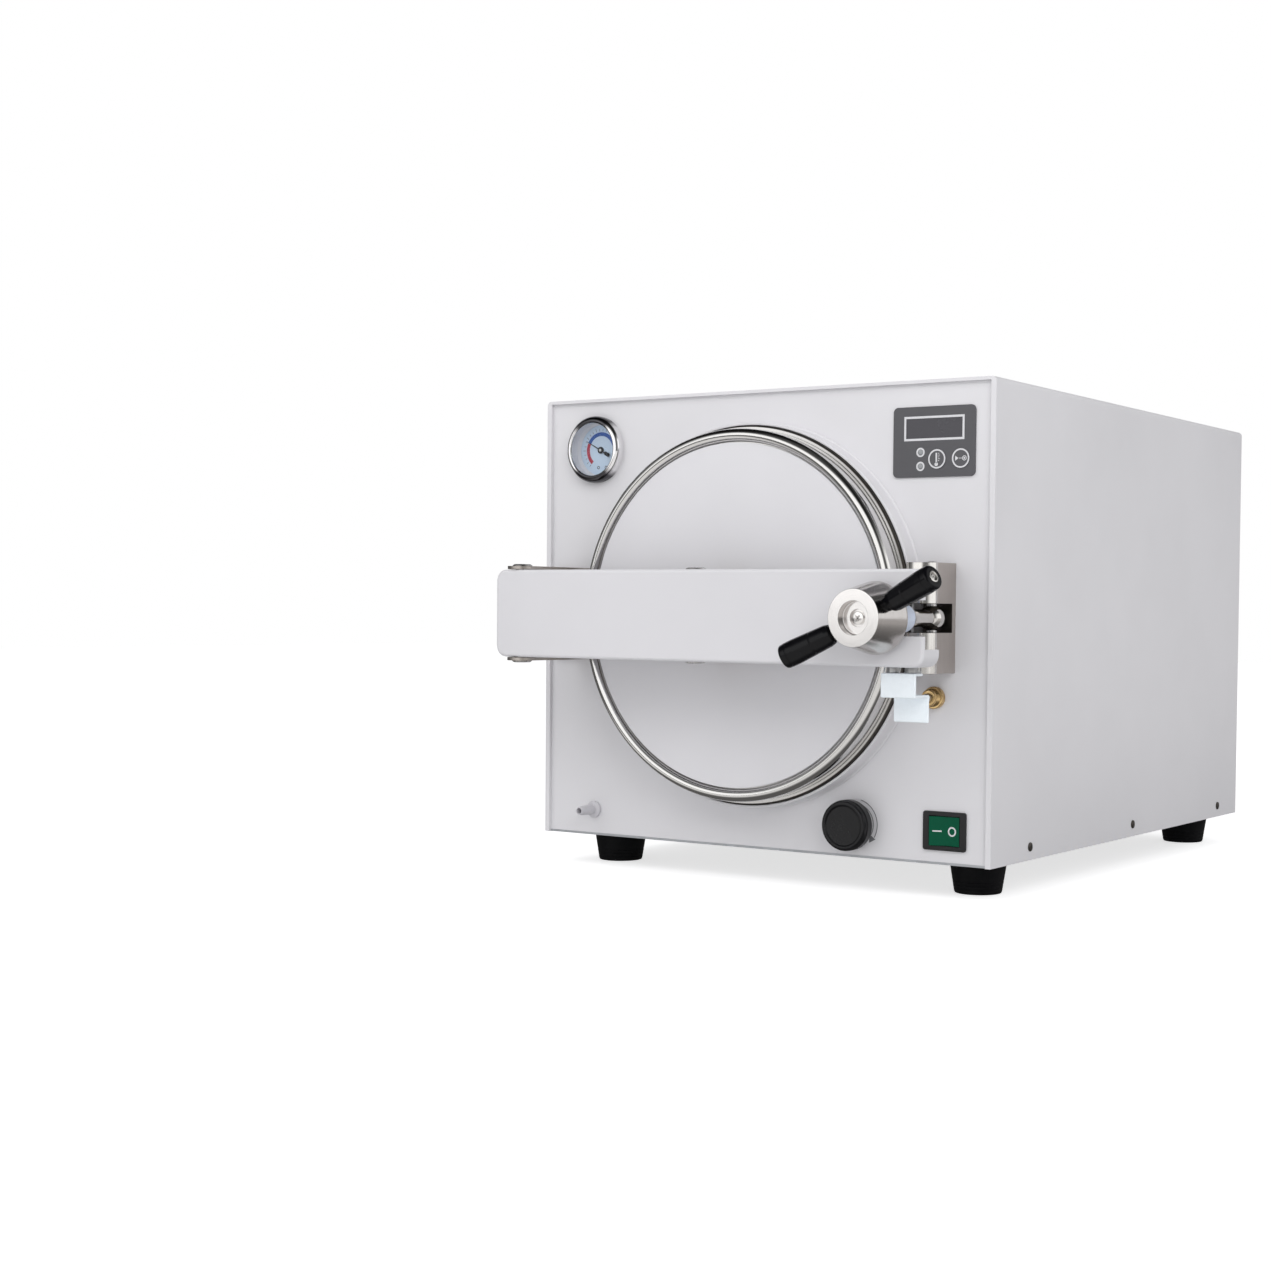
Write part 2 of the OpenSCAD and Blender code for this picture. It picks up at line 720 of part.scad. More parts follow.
module key_program() placed() color([0.45, 0.46, 0.48]) key(key_xs[0]);

module key_start() placed() color([0.45, 0.46, 0.48]) key(key_xs[1]);

module status_lamps() placed() color([0.35, 0.75, 0.40])
    for (z = lamp_zs) turned(lamp_x, panel_y, z, [
        [0, 0], [lamp_r, 0], [lamp_r, overlay_t + 0.3], [lamp_r * 0.6, overlay_t + 0.9], [0, overlay_t + 1.1]
    ]);

module control_board() placed() color([0.10, 0.35, 0.20]) {
    y0 = panel_in + board_gap;
    slab(y0, y0 + board_t)
        translate([overlay_x, overlay_z])
            square([overlay_w + 2 * post_r, overlay_h + 2 * post_r], center = true);
    for (sx = [-1, 1], sz = [-1, 1])
        rod_y(overlay_x + sx * overlay_w / 2, overlay_z + sz * (overlay_h / 2 - 1), panel_in, y0 + 1, post_r);
    for (x = key_xs) slab(y0 - 3, y0 + 1) translate([x, key_z]) square([6, 6], center = true);
    slab(y0 - 6, y0 + 1)
        translate([overlay_x, overlay_z + display_dz]) square([display_w - 8, display_h - 4], center = true);
}

module switch_frame() placed() color([0.06, 0.06, 0.07]) difference() {
    union() {
        slab(panel_y - switch_t, panel_y) translate([switch_x, switch_z]) rounded(switch_w, switch_h, 2);
        slab(panel_y, panel_y + switch_body_l)
            translate([switch_x, switch_z]) square([switch_body_w, switch_body_h], center = true);
    }
    slab(panel_y - 2 * switch_t, panel_y + 16) translate([switch_x, switch_z])
        square([rocker_w + 1.8, rocker_h + 2 * gap], center = true);
    rod_z(switch_x, rocker_y, switch_z - rocker_h / 2 - 1.4, switch_z + rocker_h / 2 + 1.4, trunnion_r + run);
}

module rocker() placed() color([0.02, 0.36, 0.22]) translate([switch_x, rocker_y, switch_z]) {
    rotate([0, 0, rocker_tilt]) translate([0, 0, -rocker_h / 2]) linear_extrude(rocker_h) polygon([
        [-rocker_w / 2, -5.4], [0, -2.6], [rocker_w / 2, -5.4], [rocker_w / 2, -1], [5, 6], [-5, 6],
        [-rocker_w / 2, -1]
    ]);
    translate([0, 0, -rocker_h / 2 - 1.2]) cylinder(h = rocker_h + 2.4, r = trunnion_r);
}

module vent_knob() placed() color([0.06, 0.06, 0.07]) difference() {
    turned(knob_x, panel_y, knob_z, [
        [0, gap], [knob_r * 0.66, gap], [knob_r * 0.66, knob_l - 13], [knob_r - 1.2, knob_l - 12.4],
        [knob_r, knob_l - 11.2], [knob_r, knob_l - 5.2], [knob_r - 0.8, knob_l - 4.8],
        [knob_r - 0.8, knob_l - 3.8], [knob_r, knob_l - 3.4], [knob_r - 0.5, knob_l - 1.2],
        [knob_r - 2, knob_l], [knob_r - 3.2, knob_l], [knob_r - 4.2, knob_l - 1.2], [0, knob_l - 1.8]
    ]);
    rod_y(knob_x, knob_z, panel_y - spindle_l - gap, panel_y, spindle_r + run);
}

module vent_valve() placed() color([0.72, 0.58, 0.28]) {
    rod_y(knob_x, knob_z, panel_y - spindle_l, panel_in + 1, spindle_r);
    block([knob_x - valve_w / 2, panel_in, knob_z - valve_w / 2],
        [knob_x + valve_w / 2, panel_in + valve_l, knob_z + valve_w / 2]);
}

module drain_spigot() placed() color([0.78, 0.79, 0.80]) difference() {
    turned(spigot_x, panel_y, spigot_z, [
        [0, -spigot_tail], [spigot_r, -spigot_tail], [spigot_r, 0], [7, 0], [7, 2.6], [5.6, 3.4],
        [spigot_r, 3.6],
        [spigot_r, spigot_l - 4], [spigot_r - 0.8, spigot_l], [0, spigot_l]
    ]);
    rod_y(spigot_x, spigot_z, panel_y - spigot_l - 1, panel_y + spigot_tail - 2, spigot_r - 1.6);
}

module pipes() placed() color([0.72, 0.45, 0.30]) {
    back_y = vessel_back + end_t;
    side_x = in_x - 26;
    valve_back = panel_in + valve_l;
    route([
        [steam_port[0], back_y, axis_z + steam_port[1]], [steam_port[0], back_y + 40, axis_z + steam_port[1]],
        [side_x, back_y + 40, axis_z + steam_port[1]], [side_x, back_y + 40, pipe_z],
        [side_x, valve_back + 16, pipe_z], [knob_x, valve_back + 16, pipe_z], [knob_x, valve_back, pipe_z]
    ], pipe_r);
    route([
        [knob_x - valve_w / 2, panel_y + spigot_tail - 5, spigot_z],
        [spigot_x + spigot_r, panel_y + spigot_tail - 5, spigot_z]
    ], pipe_r);
    route([
        [gauge_x, panel_y + case_l + 14, gauge_z], [gauge_x, back_y + 26, gauge_z],
        [gauge_port[0], back_y + 26, gauge_z], [gauge_port[0], back_y + 26, axis_z + gauge_port[1]],
        [gauge_port[0], back_y, axis_z + gauge_port[1]]
    ], pipe_r);
    tube([safety_x, back_y, safety_z], [safety_x, rear_in - 18, safety_z], pipe_r + 1);
    for (p = [steam_port, gauge_port, safety_port])
        rod_y(p[0], axis_z + p[1], back_y, back_y + 8, 2.4 * pipe_r);
}

module safety_valve() placed() color([0.74, 0.60, 0.28]) difference() {
    turned_back(safety_x, rear_y, safety_z, [
        [0, -sheet - 18], [valve_r, -sheet - 18], [valve_r, -sheet], [valve_r - 2, -sheet], [valve_r - 2, 0],
        [valve_r, 0], [valve_r, 8], [valve_r - 1.5, 9], [valve_r - 1.5, bonnet_l - 3], [valve_r - 3, bonnet_l],
        [0, bonnet_l]
    ]);
    rod_y(safety_x, safety_z, rear_y + 4, rear_y + bonnet_l + 1, 2 + run);
}

module safety_ring() placed() color([0.76, 0.77, 0.78]) {
    rod_y(safety_x, safety_z, rear_y + 8, rear_y + ring_reach - 2 * ring_r + ring_wire, 2);
    translate([safety_x, rear_y + ring_reach - ring_r, safety_z])
        rotate_extrude() translate([ring_r - ring_wire, 0]) circle(ring_wire);
}

module mains_inlet() placed() color([0.05, 0.05, 0.06]) {
    difference() {
        union() {
            slab(rear_y, rear_y + 3) translate([inlet_x, rear_z]) rounded(50, 27, 4);
            slab(rear_y - 22, rear_y) translate([inlet_x, rear_z]) square([28, 21], center = true);
        }
        slab(rear_y - 14, rear_y + 4) translate([inlet_x, rear_z]) rounded(24.5, 16.5, 2);
    }
    for (p = [[-7, -1.5], [0, 2.5], [7, -1.5]])
        slab(rear_y - 15, rear_y - 1) translate([inlet_x + p[0], rear_z + p[1]]) square([2, 4], center = true);
}

module fuse_holders() placed() color([0.07, 0.07, 0.08])
    for (x = fuse_xs) turned_back(x, rear_y, rear_z, [
        [0, -fuse_tail], [fuse_r - 1, -fuse_tail], [fuse_r - 1, 0], [fuse_r + 1, 0], [fuse_r + 1, 2.5],
        [fuse_r - 0.5, 3], [fuse_r - 0.5, fuse_l - 1], [fuse_r - 1.5, fuse_l], [0, fuse_l]
    ]);

module transformer() placed() color([0.35, 0.35, 0.37]) {
    x0 = core_in - in_x;
    y0 = rear_in - core_rear;
    block([x0, y0, floor_z], [x0 + core_w, y0 + core_d, floor_z + core_h]);
    block([x0 + coil_in, y0 - coil_out, floor_z + coil_out],
        [x0 + core_w - coil_in, y0 + core_d + coil_out, floor_z + core_h - coil_out]);
    block([x0 - core_foot, y0 + coil_in, floor_z],
        [x0 + core_w + core_foot, y0 + core_d - coil_in, floor_z + base_t]);
}

module hinge_bracket() placed() color([0.83, 0.84, 0.85]) difference() {
    union() {
        block([-hinge_plate_x, panel_y - hinge_plate_t, bar_lo - lug_gap - lug_t],
            [lug_w / 2 - hinge_x, panel_y, bar_hi + lug_gap + lug_t]);
        for (z = [bar_lo - lug_gap - lug_t, bar_hi + lug_gap]) {
            block([-hinge_x - lug_w / 2, bar_mid, z], [lug_w / 2 - hinge_x, panel_y, z + lug_t]);
            rod_z(-hinge_x, bar_mid, z, z + lug_t, lug_w / 2);
        }
    }
    rod_z(-hinge_x, bar_mid, bar_lo - 20, bar_hi + 20, hinge_pin_r);
}

// Pin with a low round head at each end.
module headed_pin(x, y, z0, z1, r) {
    translate([x, y, 0]) rotate_extrude() polygon([
        [0, z0 - pin_head_t], [pin_head_r - 1.5, z0 - pin_head_t], [pin_head_r, z0 - pin_head_t / 2],
        [pin_head_r, z0], [r, z0],
        [r, z1], [pin_head_r, z1], [pin_head_r, z1 + pin_head_t / 2], [pin_head_r - 1.5, z1 + pin_head_t],
        [0, z1 + pin_head_t]
    ]);
}

module hinge_pin() placed() color([0.75, 0.76, 0.77])
    headed_pin(-hinge_x, bar_mid, bar_lo - lug_gap - lug_t, bar_hi + lug_gap + lug_t, hinge_pin_r);

module clamp_bracket() placed() color([0.78, 0.79, 0.80]) difference() {
    translate([0, 0, axis_z - bracket_h / 2]) linear_extrude(bracket_h) {
        translate([bracket_x - bracket_w / 2, nose_y]) square([bracket_w, panel_y - nose_y]);
        translate([bracket_x, nose_y]) circle(bracket_w / 2);
    }
    block([clamp_x - bracket_w, nose_y - bracket_w, axis_z - eye_gap / 2],
        [clamp_x + bracket_w, panel_y - web_t, axis_z + eye_gap / 2]);
    rod_z(clamp_x, eye_y, axis_z - bracket_h, axis_z + bracket_h, eye_pin_r);
}

module eye_pin() placed() color([0.70, 0.71, 0.72])
    translate([clamp_x, eye_y, axis_z]) rotate_extrude() polygon([
    [0, -bracket_h / 2], [eye_pin_r, -bracket_h / 2], [eye_pin_r, bracket_h / 2 + 0.3],
    [eye_pin_r - 0.7, bracket_h / 2 + 1], [0, bracket_h / 2 + 1]
]);

module eye_stud() placed() color([0.74, 0.75, 0.76]) difference() {
    union() {
        translate([clamp_x, eye_y, axis_z]) sphere(ball_r);
        intersection() {
            rod_y(clamp_x, axis_z, eye_y - stud_l - 5, eye_y, stud_r);
            translate([clamp_x, eye_y, axis_z]) sphere(stud_l);
        }
    }
    rod_z(clamp_x, eye_y, axis_z - 2 * ball_r, axis_z + 2 * ball_r, eye_pin_r + run);
}

module plunger_bush() placed() color([0.76, 0.62, 0.30]) difference() {
    turned(plunger_x, panel_y, plunger_z, [
        [0, -sheet - 14], [bush_r - 1.5, -sheet - 14], [bush_r - 1.5, 0], [bush_r, 0], [bush_r, bush_l - 4],
        [bush_r - 1, bush_l - 3], [bush_r - 1.5, bush_l], [0, bush_l]
    ]);
    rod_y(plunger_x, plunger_z, panel_y - bush_l - 1, panel_in + 12, plunger_r + run);
}

module plunger_pin() placed() color([0.80, 0.81, 0.82])
    turned(plunger_x, panel_y, plunger_z, [
        [0, -10], [plunger_r, -10], [plunger_r, bush_l + plunger_proud - 2],
        [plunger_r * 0.75, bush_l + plunger_proud - 0.6], [plunger_r * 0.3, bush_l + plunger_proud],
        [0, bush_l + plunger_proud]
    ]);

module door_bar() placed() color([0.88, 0.89, 0.90]) difference() {
    slab(bar_front, bar_back) translate([(bar_right - bar_left) / 2, axis_z])
        rounded(bar_left + bar_right, bar_h, bar_r);
    block([hinge_block - bar_left, bar_front + bar_wall, bar_lo + bar_wall],
        [bar_right - bar_wall, bar_back + 1, bar_hi - bar_wall]);
    rod_y(clamp_x, axis_z, bar_front - 1, bar_back, slot_h / 2);
    block([clamp_x, bar_front - 1, axis_z - slot_h / 2], [bar_right + 1, bar_back, axis_z + slot_h / 2]);
    block([bar_right - bar_wall, bar_front + bar_wall, axis_z - notch_h / 2],
        [bar_right + 1, bar_back + 1, axis_z + notch_h / 2]);
    rod_z(-hinge_x, bar_mid, bar_lo - 1, bar_hi + 1, hinge_pin_r + run);
    rod_z(0, bar_mid, bar_lo - 1, bar_hi + 1, pivot_pin_r);
}

module door_dish() placed() color([0.80, 0.81, 0.82])
    turned(0, dish_back, axis_z, [
        [0, 0], [door_r - 2.5, 0], [door_r - 0.7, 0.8], [door_r, 2.6], [door_r, door_t - 7],
        [door_r - 0.9, door_t - 3.4], [door_r - 3.4, door_t - 0.8], [door_r - 6.5, door_t],
        [door_r - 9, door_t - 0.6], [face_r + 0.6, door_t - 2.6], [face_r, dish_web + face_t],
        [face_r, dish_web],
        [0, dish_web]
    ]);

module door_face() placed() color([0.88, 0.89, 0.90])
    turned(0, dish_back, axis_z, [
        [0, dish_web], [face_r, dish_web], [face_r, dish_web + face_t - 0.8],
        [face_r - 0.8, dish_web + face_t],
        [0, dish_web + face_t]
    ]);

module door_gasket() placed() color([0.15, 0.14, 0.14])
    turned(0, dish_back, axis_z, [
        [door_r - 2.5, 0], [door_r - 2.5, -gasket_t + 0.6], [door_r - 3.1, -gasket_t],
        [door_r - 2.5 - gasket_w + 0.6, -gasket_t], [door_r - 2.5 - gasket_w, -gasket_t + 0.6],
        [door_r - 2.5 - gasket_w, 0]
    ]);

module door_boss() placed() color([0.80, 0.81, 0.82]) difference() {
    block([-boss_w / 2, bar_front + bar_wall + boss_in, bar_lo + bar_wall],
        [boss_w / 2, face_front, bar_hi - bar_wall]);
    rod_z(0, bar_mid, bar_lo, bar_hi, pivot_pin_r);
}

module pivot_pin() placed() color([0.75, 0.76, 0.77]) headed_pin(0, bar_mid, bar_lo, bar_hi, pivot_pin_r);

module thrust_sleeve() placed() color([0.86, 0.89, 0.94]) difference() {
    turned(clamp_x, rod_back - collar_t, axis_z, [
        [0, 0], [sleeve_r, 0], [sleeve_r, rod_back - collar_t - bar_front],
        [sleeve_flange_r, rod_back - collar_t - bar_front],
        [sleeve_flange_r, rod_back - collar_t - bar_front + sleeve_flange_t],
        [sleeve_r, rod_back - collar_t - bar_front + sleeve_flange_t],
        [sleeve_r, rod_back - collar_t - sleeve_front], [0, rod_back - collar_t - sleeve_front]
    ]);
    rod_y(clamp_x, axis_z, sleeve_front - 1, rod_back, rod_r);
}

module clamp_rod() placed() color([0.60, 0.61, 0.62])
    turned(clamp_x, rod_back, axis_z, [
        [0, 0], [collar_r, 0], [collar_r, collar_t], [rod_r, collar_t], [rod_r, rod_back - rod_front - 1],
        [rod_r - 1, rod_back - rod_front], [0, rod_back - rod_front]
    ]);

// Plate folded twice, so that it steps back under the crossbar.
module interlock_plate() placed() color([0.82, 0.84, 0.88]) {
    z1 = bar_lo - plate_drop;
    block([plate_x0, plate_y, bar_lo - plate_sheet], [plate_x1, bar_back - 2, bar_lo]);
    block([plate_x0, plate_y, z1], [plate_x1, plate_y + plate_sheet, bar_lo]);
    block([plate_x0, plate_y, z1 - plate_sheet], [plate_x1, plate_y + plate_step + plate_sheet, z1]);
    block([plate_x0, plate_y + plate_step, z1 - plate_drop],
        [plate_x1, plate_y + plate_step + plate_sheet, z1]);
}

module thrust_washer() placed() color([0.72, 0.73, 0.74]) difference() {
    rod_y(clamp_x, axis_z, washer_front, washer_front + washer_t, washer_r);
    rod_y(clamp_x, axis_z, washer_front - 1, washer_front + washer_t + 1, rod_r + run);
}

// Places a child that is drawn along Z on each grip's axis, from the hub's axis outwards.
module on_grips() {
    for (a = [0, 180])
        translate([clamp_x, grip_y, axis_z]) rotate([0, -grip_a - a, 0]) rotate([0, 0, -grip_tilt])
            rotate([0, 90, 0]) children();
}

module hub() placed() color([0.78, 0.79, 0.80]) difference() {
    turned(clamp_x, hub_back, axis_z, [
        [0, 0], [hub_r - 0.8, 0], [hub_r, 0.8], [hub_r, 2], [hub_nose_r, hub_l - 0.8],
        [hub_nose_r - 0.8, hub_l], [hub_recess_r, hub_l], [hub_recess_r - 0.6, hub_l - hub_recess],
        [0, hub_l - hub_recess]
    ]);
    rod_y(clamp_x, axis_z, hub_back - hub_bore, hub_back + 1, rod_r + run);
    on_grips() translate([0, 0, grip_root]) cylinder(h = hub_r, r = grip_root_r);
}

module hub_screw() placed() color([0.70, 0.71, 0.72]) difference() {
    turned(clamp_x, hub_front + hub_recess, axis_z, [
        [0, 0], [5.5, 0], [5.5, 1], [4.6, 1.2], [4.2, 1.2], [3.4, 2], [1.8, 2.4], [0, 2.4]
    ]);
    for (a = [0, 90]) translate([clamp_x, hub_front + hub_recess - 2.4, axis_z]) rotate([0, a + 40, 0])
        cube([4.6, 2, 0.9], center = true);
}

module grips() placed() color([0.05, 0.05, 0.06]) on_grips() rotate_extrude() polygon([
    [0, grip_root], [grip_root_r, grip_root], [grip_root_r, hub_r - 0.5], [7.2, hub_r + 1.2], [8.2, hub_r + 4.5],
    [8.7, 0.62 * grip_l], [8.3, 0.62 * grip_l + 0.6], [8.75, 0.62 * grip_l + 1.2],
    [grip_r, grip_l - 4], [grip_r - 0.1, grip_l - 2], [grip_end_r, grip_l],
    [grip_screw_r, grip_l], [grip_screw_r, grip_l - grip_recess], [0, grip_l - grip_recess]
]);

module grip_screws() placed() color([0.75, 0.76, 0.77]) on_grips() rotate_extrude() polygon([
    [0, grip_l - grip_recess], [grip_screw_r - 0.3, grip_l - grip_recess],
    [grip_screw_r - 0.3, grip_l - grip_recess + 1], [grip_screw_r - 1.4, grip_l - grip_recess + 1.8],
    [0, grip_l - grip_recess + 1.9]
]);

outer_cover();
front_panel();
rear_panel();
base_plate();
rubber_feet();
side_screws();
pressure_vessel();
chamber_flange();
mouth_trim();
vessel_saddles();
heater_band();
insulation();
bottom_plate();
tray_rack();
tray_upper();
tray_lower();
probe_sheaths();
gauge_case();
gauge_bezel();
gauge_dial();
gauge_needle();
gauge_glass();
control_overlay();
display_window();
key_program();
key_start();
status_lamps();
control_board();
switch_frame();
rocker();
vent_knob();
vent_valve();
drain_spigot();
pipes();
safety_valve();
safety_ring();
mains_inlet();
fuse_holders();
transformer();
hinge_bracket();
hinge_pin();
clamp_bracket();
eye_pin();
eye_stud();
plunger_bush();
plunger_pin();
door_bar();
door_dish();
door_face();
door_gasket();
door_boss();
pivot_pin();
thrust_sleeve();
clamp_rod();
interlock_plate();
thrust_washer();
hub();
hub_screw();
grips();
grip_screws();
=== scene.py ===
# %% [markdown]
# # A benchtop autoclave
# The solids of the machine are loaded first and stay where they are. Everything after that is looks: a camera at
# the photograph's place, soft studio light, one finish for each material, and finer pieces over the plain solids.

# %% Load the machine
from math import cos, pi, radians, sin, tan

import bmesh
import bpy
from mathutils import Matrix, Vector


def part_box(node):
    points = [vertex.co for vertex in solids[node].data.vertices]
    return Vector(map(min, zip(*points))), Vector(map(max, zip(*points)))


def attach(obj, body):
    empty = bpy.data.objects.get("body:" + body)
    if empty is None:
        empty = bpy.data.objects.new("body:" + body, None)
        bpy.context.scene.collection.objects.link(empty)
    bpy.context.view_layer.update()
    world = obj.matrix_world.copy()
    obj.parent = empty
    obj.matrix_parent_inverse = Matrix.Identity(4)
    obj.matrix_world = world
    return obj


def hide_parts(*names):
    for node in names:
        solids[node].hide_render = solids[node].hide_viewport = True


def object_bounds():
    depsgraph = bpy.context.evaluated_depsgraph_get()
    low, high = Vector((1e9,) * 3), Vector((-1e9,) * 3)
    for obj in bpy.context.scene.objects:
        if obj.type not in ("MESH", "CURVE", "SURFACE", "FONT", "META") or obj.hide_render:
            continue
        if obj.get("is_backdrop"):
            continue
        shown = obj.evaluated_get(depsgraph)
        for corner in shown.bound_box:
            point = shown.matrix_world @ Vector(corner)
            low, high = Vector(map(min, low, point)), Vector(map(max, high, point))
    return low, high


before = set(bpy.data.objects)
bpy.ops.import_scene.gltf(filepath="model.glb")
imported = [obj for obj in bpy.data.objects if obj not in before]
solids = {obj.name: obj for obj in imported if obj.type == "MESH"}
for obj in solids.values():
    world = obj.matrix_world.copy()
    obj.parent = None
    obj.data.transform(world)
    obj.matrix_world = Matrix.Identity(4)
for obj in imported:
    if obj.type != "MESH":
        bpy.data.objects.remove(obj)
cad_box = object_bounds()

MM = 0.001
print("solids:", len(solids), "box:", [round(x, 4) for corner in cad_box for x in corner])

# %% [markdown]
# ## Places on the machine
# Every finer piece sits on a solid, so its place is read from the solid's box instead of being typed again.

# %% Read places from the solids
X, Y = 0, 1
TO_FRONT = Vector((0, -1, 0))
TO_REAR = Vector((0, 1, 0))
RIGHT = Vector((1, 0, 0))
UP = Vector((0, 0, 1))
ORIGIN = Vector((0, 0, 0))


def low(node):
    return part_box(node)[0]


def high(node):
    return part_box(node)[1]


def middle(node):
    return (low(node) + high(node)) / 2


def span(node, axis):
    """A solid's size along an axis, in millimetres."""
    return (high(node)[axis] - low(node)[axis]) / MM


def at_depth(place, y):
    """The point straight before or behind a place, at a depth."""
    return Vector((place.x, y, place.z))


door, clamp, gauge = middle("door_face"), middle("clamp_rod"), middle("gauge_glass")
panel_y = low("front_panel").y
print("door centre:", [round(x, 4) for x in door], "panel at y", round(panel_y, 4))

# %% [markdown]
# ## Camera
# The camera stands to the right of the machine and nearly level with it. Its place and its focal length come from a
# fit to the cabinet's corners in the photograph. The picture was cropped off centre, so the lens is shifted.

# %% Set the camera
AZIMUTH, ELEVATION, ROLL = (radians(a) for a in (32.285, 1.826, 0.59))
AIM = Vector((-0.0100, 0.0476, 0.2))
DISTANCE, ASIDE, ABOVE = 1.8419, -0.1154, -0.0353
LENS, SHIFT_X, SHIFT_Y = 56.616, -0.12, 0.0288

back = Vector((sin(AZIMUTH) * cos(ELEVATION), -cos(AZIMUTH) * cos(ELEVATION), sin(ELEVATION)))
across = Vector((cos(AZIMUTH), sin(AZIMUTH), 0))
upright = back.cross(across)
cam_x = across * cos(ROLL) + upright * sin(ROLL)
cam_y = upright * cos(ROLL) - across * sin(ROLL)
cam_at = AIM + back * DISTANCE + cam_x * ASIDE + cam_y * ABOVE

bpy.ops.object.select_all(action="DESELECT")
bpy.ops.object.camera_add()
camera = bpy.context.object
camera.matrix_world = Matrix.Translation(cam_at) @ Matrix((cam_x, cam_y, back)).transposed().to_4x4()
camera.data.sensor_width = 36
camera.data.lens = LENS
camera.data.shift_x, camera.data.shift_y = SHIFT_X, SHIFT_Y
bpy.context.scene.camera = camera
print("camera at", [round(x, 3) for x in cam_at])

# %% [markdown]
# ## Writing finishes as sums
# A finish is a Principled shader fed by patterns. To keep the patterns readable, a small class wraps a socket so
# that `1 - mask * 0.3` adds the Math nodes by itself, and one method adds any other node. The sky is made of nodes
# too, so that method belongs to every tree, and a finish is a tree with a material and a few patterns of its own.

# %% Sockets that can be added and multiplied
class Value:
    """A number that changes over a surface."""

    def __init__(self, nodes, socket):
        self.nodes, self.socket = nodes, socket

    def __add__(self, other):
        return self.nodes.math("ADD", self, other)

    def __sub__(self, other):
        return self.nodes.math("SUBTRACT", self, other)

    def __rsub__(self, other):
        return self.nodes.math("SUBTRACT", other, self)

    def __mul__(self, other):
        return self.nodes.math("MULTIPLY", self, other)

    __radd__, __rmul__ = __add__, __mul__


class Nodes:
    """A tree of shader nodes."""

    def __init__(self, tree):
        self.tree = tree

    def feed(self, socket, value):
        if isinstance(value, Value):
            self.tree.links.new(value.socket, socket)
        else:
            socket.default_value = value

    def node(self, kind, settings=None, inputs=None, output=0):
        """Adds a node of any kind: settings first, then the values or links of its sockets."""
        made = self.tree.nodes.new("ShaderNode" + kind)
        for key, value in (settings or {}).items():
            if key == "stops":
                elements = made.color_ramp.elements
                for at, _ in value[2:]:
                    elements.new(at)
                for element, (at, tone) in zip(elements, value):
                    element.position, element.color = at, (tone, tone, tone, 1)
            else:
                setattr(made, key, value)
        for key, value in (inputs or {}).items():
            self.feed(made.inputs[key], value)
        return Value(self, made.outputs[output] if made.outputs else None)

    def math(self, operation, a, b=0.0):
        return self.node("Math", {"operation": operation}, {0: a, 1: b})


print("sums of sockets ready")

# %% Finishes and their patterns
finishes = {}


class Finish(Nodes):
    """A material: constants on the shader's own sockets, and patterns on the few that may change."""

    def __init__(self, name, colour, **constants):
        self.material = bpy.data.materials.new(name)
        self.material.use_nodes = True
        super().__init__(self.material.node_tree)
        self.shader = self.tree.nodes["Principled BSDF"]
        self.set("Base Color", (*colour, 1))
        for socket, value in constants.items():
            self.set(socket.replace("_", " ").title().replace("Ior", "IOR"), value)
        self.surface = self.node("TexCoord", output="Object")
        finishes[name] = self

    def set(self, socket, value):
        self.feed(self.shader.inputs[socket], value)

    def stretched(self, scale):
        """Object coordinates drawn out along the axes."""
        return self.node("Mapping", inputs={"Vector": self.surface, "Scale": scale})

    def noise(self, scale, detail=2.0, rough=0.5, at=None, warp=0.0):
        return self.node("TexNoise", inputs={"Vector": at or self.surface, "Scale": scale, "Detail": detail,
                                             "Roughness": rough, "Distortion": warp})

    def between(self, value, start, end):
        """How far a value has come from start to end: 0 before, 1 after."""
        return self.node("MapRange", {"clamp": True}, {"Value": value, "From Min": start, "From Max": end})

    def mix(self, share, a, b):
        first, second = (c if isinstance(c, Value) else (*c, 1) for c in (a, b))
        return self.node("Mix", {"data_type": "RGBA"}, {0: share, 6: first, 7: second}, output=2)

    def bump(self, height, strength, depth):
        return self.node("Bump", inputs={"Height": height, "Strength": strength, "Distance": depth})

    def rings(self, centre):
        """Radius from an axis to the rear and the angle round it, for marks that follow a lathe."""
        moved = self.node("Mapping", inputs={"Vector": self.surface, "Location": tuple(-c for c in centre)})
        x, z = (self.node("SeparateXYZ", inputs={0: moved}, output=axis) for axis in "XZ")
        return self.math("SQRT", x * x + z * z), self.math("ARCTAN2", z, x)


def dimmed(colour, share):
    return tuple(c * share for c in colour)


print("finishes can be mixed")

# %% [markdown]
# ## Light
# The machine stands in a bright, soft studio. Most of the light comes evenly from the sky, and four wide lamps only
# add a little shape. For reflections alone the room is different: one broad bright screen at the front left, a weaker
# one at the right, and dark between and above them, because polished steel with nothing dark to mirror looks like
# white plastic, and black plastic with nothing dark to mirror looks grey.

# %% Hang the lamps
LAMPS = {  # place, what it is aimed at, width and height, power
    "top_lamp": ((-0.5, -1.6, 2.0), (0, 0, 0.3), (2.4, 1.8), 15.5),
    "left_lamp": ((-2.0, -1.6, 1.3), (0, 0, 0.25), (1.2, 1.6), 1),
    "right_lamp": ((1.7, -1.6, 1.5), (0.1, 0, 0.3), (1.4, 1.4), 19.5),
    "low_lamp": ((0.25, -1.9, 0.12), (0.05, -0.25, 0.2), (1.6, 0.4), 2.3),
}
bpy.ops.object.select_all(action="DESELECT")
for name, (spot, target, size, power) in LAMPS.items():
    bpy.ops.object.light_add(type="AREA", location=spot)
    lamp = bpy.context.object
    lamp.name = name
    lamp.data.shape, lamp.data.size, lamp.data.size_y = "RECTANGLE", *size
    lamp.data.energy = power
    lamp.rotation_mode = "QUATERNION"
    lamp.rotation_quaternion = (Vector(spot) - Vector(target)).to_track_quat("Z", "Y")
    lamp.visible_glossy = False
print("lamps:", *LAMPS)

